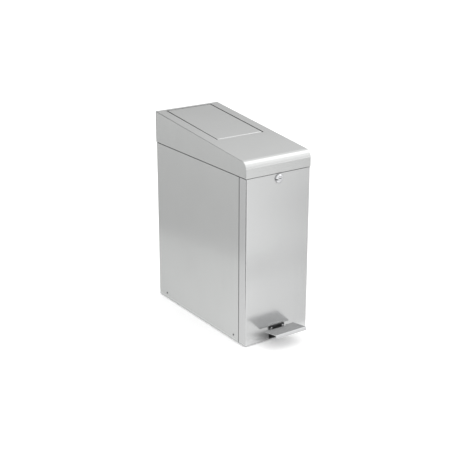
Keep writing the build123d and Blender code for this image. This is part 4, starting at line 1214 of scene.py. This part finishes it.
@dataclass
class Studio:
    """Pale floor, soft surroundings, key light, reflection cards and the camera."""

    floor_size: float = 40.0
    floor_tint: Colour = (0.95, 0.95, 0.95)
    sky: float = 1.06
    key_energy: float = 14.0
    key_size: tuple[float, float] = (2.4, 2.4)
    key_direction: Point = (0.30, -0.45, 0.84)
    key_distance: float = 3.0
    azimuth: float = -34.404
    elevation: float = 19.811
    distance: float = 2.7754
    target: Point = (-0.0137, 0.0301, 0.2517)
    image_width: float = 452.0
    focal_pixels: float = 1031.46
    sensor: float = 36.0

    def build(self) -> None:
        """Set up the whole studio."""
        self.floor()
        self.surroundings()
        self.key_light()
        for card in self.cards():
            card.build()
        self.camera()
        bpy.context.scene.view_settings.view_transform = "Standard"

    def floor(self) -> None:
        """Lay the floor."""
        ends = (-self.floor_size / 2, self.floor_size / 2)
        corners = tuple((ends[u], ends[v], 0.0) for u, v in ROUND)
        flat_board("studio_floor", corners, PaleFloor("pale_floor", self.floor_tint).build())

    def surroundings(self) -> None:
        """Fill the sky with even light."""
        world = bpy.data.worlds.new("studio")
        world.use_nodes = True
        book = NodeBook(world.node_tree)
        glow = book.node("ShaderNodeBackground", inputs={"Color": WHITE, "Strength": self.sky})
        book.node("ShaderNodeOutputWorld", inputs={"Surface": glow})
        bpy.context.scene.world = world

    def key_light(self) -> None:
        """Hang the large soft box that lights the floor and the dull pieces."""
        lamp = bpy.data.lights.new("key_box", "AREA")
        lamp.shape = "RECTANGLE"
        lamp.size, lamp.size_y = self.key_size
        lamp.energy = self.key_energy
        box = into_scene("key_box", lamp)
        aim = Vector(self.key_direction).normalized()
        box.location = aim * self.key_distance
        box.rotation_mode = "QUATERNION"
        box.rotation_quaternion = aim.to_track_quat("Z", "Y")
        box.visible_glossy = False

    def cards(self) -> list[Card]:
        """The cards, each of which only shapes reflections.

        Returns:
            The cards.
        """
        return [
            floor_card("left_near_card", ((-0.10, -0.35), (-0.10, 0.66), (-0.33, 1.15), (-0.60, -0.27)),
                       (0.97, 0.68, 0.64, 1.02), 1 * MM, 0.03),
            floor_card("left_mid_card", ((-0.55, -0.18), (-0.16, 1.59), (-1.43, 2.66), (-1.43, -0.18)),
                       (0.74, 0.51, 0.76, 0.84), 2 * MM, 0.03),
            floor_card("left_far_card", ((-1.34, -0.44), (-1.34, 8.00), (-9.00, 8.00), (-9.00, -0.44)),
                       (0.82, 0.62, 0.68, 0.76), 1 * MM, 0.03),
            floor_card("left_rear_card", ((-0.28, 1.42), (-0.28, 8.00), (-1.38, 8.00), (-1.38, 1.42)),
                       (0.62, 0.62, 0.70, 0.68), 1 * MM, 0.03),
            wall_card("far_wall_card", (-9.0, 1.0), 8.0, (0.0, 3.5), (0.66, 0.60, 0.70, 0.70), 0.02),
            floor_card("front_card", ((-0.40, -0.19), (0.53, -0.19), (1.55, -1.28), (0.31, -1.28)),
                       (1.19, 0.62, 0.12, 1.42), 1 * MM),
            floor_card("front_far_card", ((0.18, -1.25), (1.64, -1.25), (2.30, -2.15), (0.40, -2.15)),
                       (1.32, 0.54, 0.50, 1.10), 2 * MM, 0.03),
            floor_card("pedal_shade", ((-0.065, -0.165), (0.06, -0.165), (0.06, -0.245), (-0.065, -0.245)),
                       (0.20, 0.20, 0.20, 0.20), 4 * MM, 0.45),
            floor_card("front_band", ((-0.15, -0.50), (0.83, -0.50), (0.91, -0.72), (-0.06, -0.72)),
                       (0.88, 0.76, 0.76, 0.88), 2 * MM, 0.4),
            floor_card("corner_card", ((-0.15, -0.24), (-0.15, -1.70), (-1.69, -1.70), (-1.69, -0.24)),
                       (0.45, 0.03, 0.03, 0.03), 3 * MM, 0.08),
            floor_card("right_card", ((0.14, -0.17), (4.00, -0.17), (4.00, 5.00), (0.14, 5.00)),
                       (1.02, 0.30, 0.55, 0.66), 1 * MM, 0.02),
            floor_card("back_card", ((-0.10, 0.27), (0.15, 0.27), (0.15, 5.00), (-0.30, 5.00)),
                       (1.00, 1.02, 0.66, 0.60), 1 * MM, 0.02),
            wall_card("rear_card", (0.05, 3.00), 0.90, (0.40, 1.83), (0.37, 0.37, 1.26, 1.26), 0.10),
            wall_card("rear_left_card", (-0.76, 0.36), 0.92, (0.56, 1.37), (0.09, 0.03, 0.03, 0.09), 0.12),
            wall_card("front_glow", (0.7, 5.0), -2.5, (0.3, 3.1), (1.08, 1.06, 1.40, 1.45), 0.05),
            Card("top_glow", ((0.8, -2.6, 3.0), (5.0, -2.6, 3.0), (5.0, 0.3, 3.0), (0.8, 0.9, 3.0)),
                 (1.40, 1.40, 1.95, 1.95), 0.2),
        ]

    def camera(self) -> None:
        """Stand the camera at the photograph's angle."""
        turn, lift = math.radians(self.azimuth), math.radians(self.elevation)
        back = Vector((math.sin(turn) * math.cos(lift), -math.cos(turn) * math.cos(lift), math.sin(lift)))
        data = bpy.data.cameras.new("camera")
        data.sensor_width = self.sensor
        data.lens = self.sensor * self.focal_pixels / self.image_width
        camera = into_scene("camera", data)
        camera.location = Vector(self.target) + back * self.distance
        camera.rotation_mode = "QUATERNION"
        camera.rotation_quaternion = (-back).to_track_quat("-Z", "Y")
        bpy.context.scene.camera = camera


def clear_defaults() -> None:
    """Remove what a new Blender file holds."""
    kept = set(frame["nodes"].values()) | set(frame["bodies"].values())
    for thing in list(bpy.data.objects):
        if thing not in kept:
            bpy.data.objects.remove(thing)


def dress_nodes(workshop: Workshop) -> None:
    """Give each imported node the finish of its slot, or its own where it looks different.

    Args:
        workshop: where the materials come from.
    """
    for part in frame["record"]["subparts"]:
        node = frame["nodes"][part["node"]]
        node.data.materials.clear()
        node.data.materials.append(workshop.material(part["material_slot"], part["node"]))
        LOG.info("%s is %s", node.name, part["material_slot"])


def main() -> None:
    """Build every class in order."""
    logging.basicConfig(level=logging.INFO)
    clear_defaults()
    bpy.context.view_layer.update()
    workshop = Workshop()
    dress_nodes(workshop)
    Casing(workshop).build()
    Hood(workshop).build()
    Pedal(workshop).build()
    BufferStrip(workshop).build()
    Lock(workshop).build()
    Studio().build()


if __name__ == "__main__":
    main()
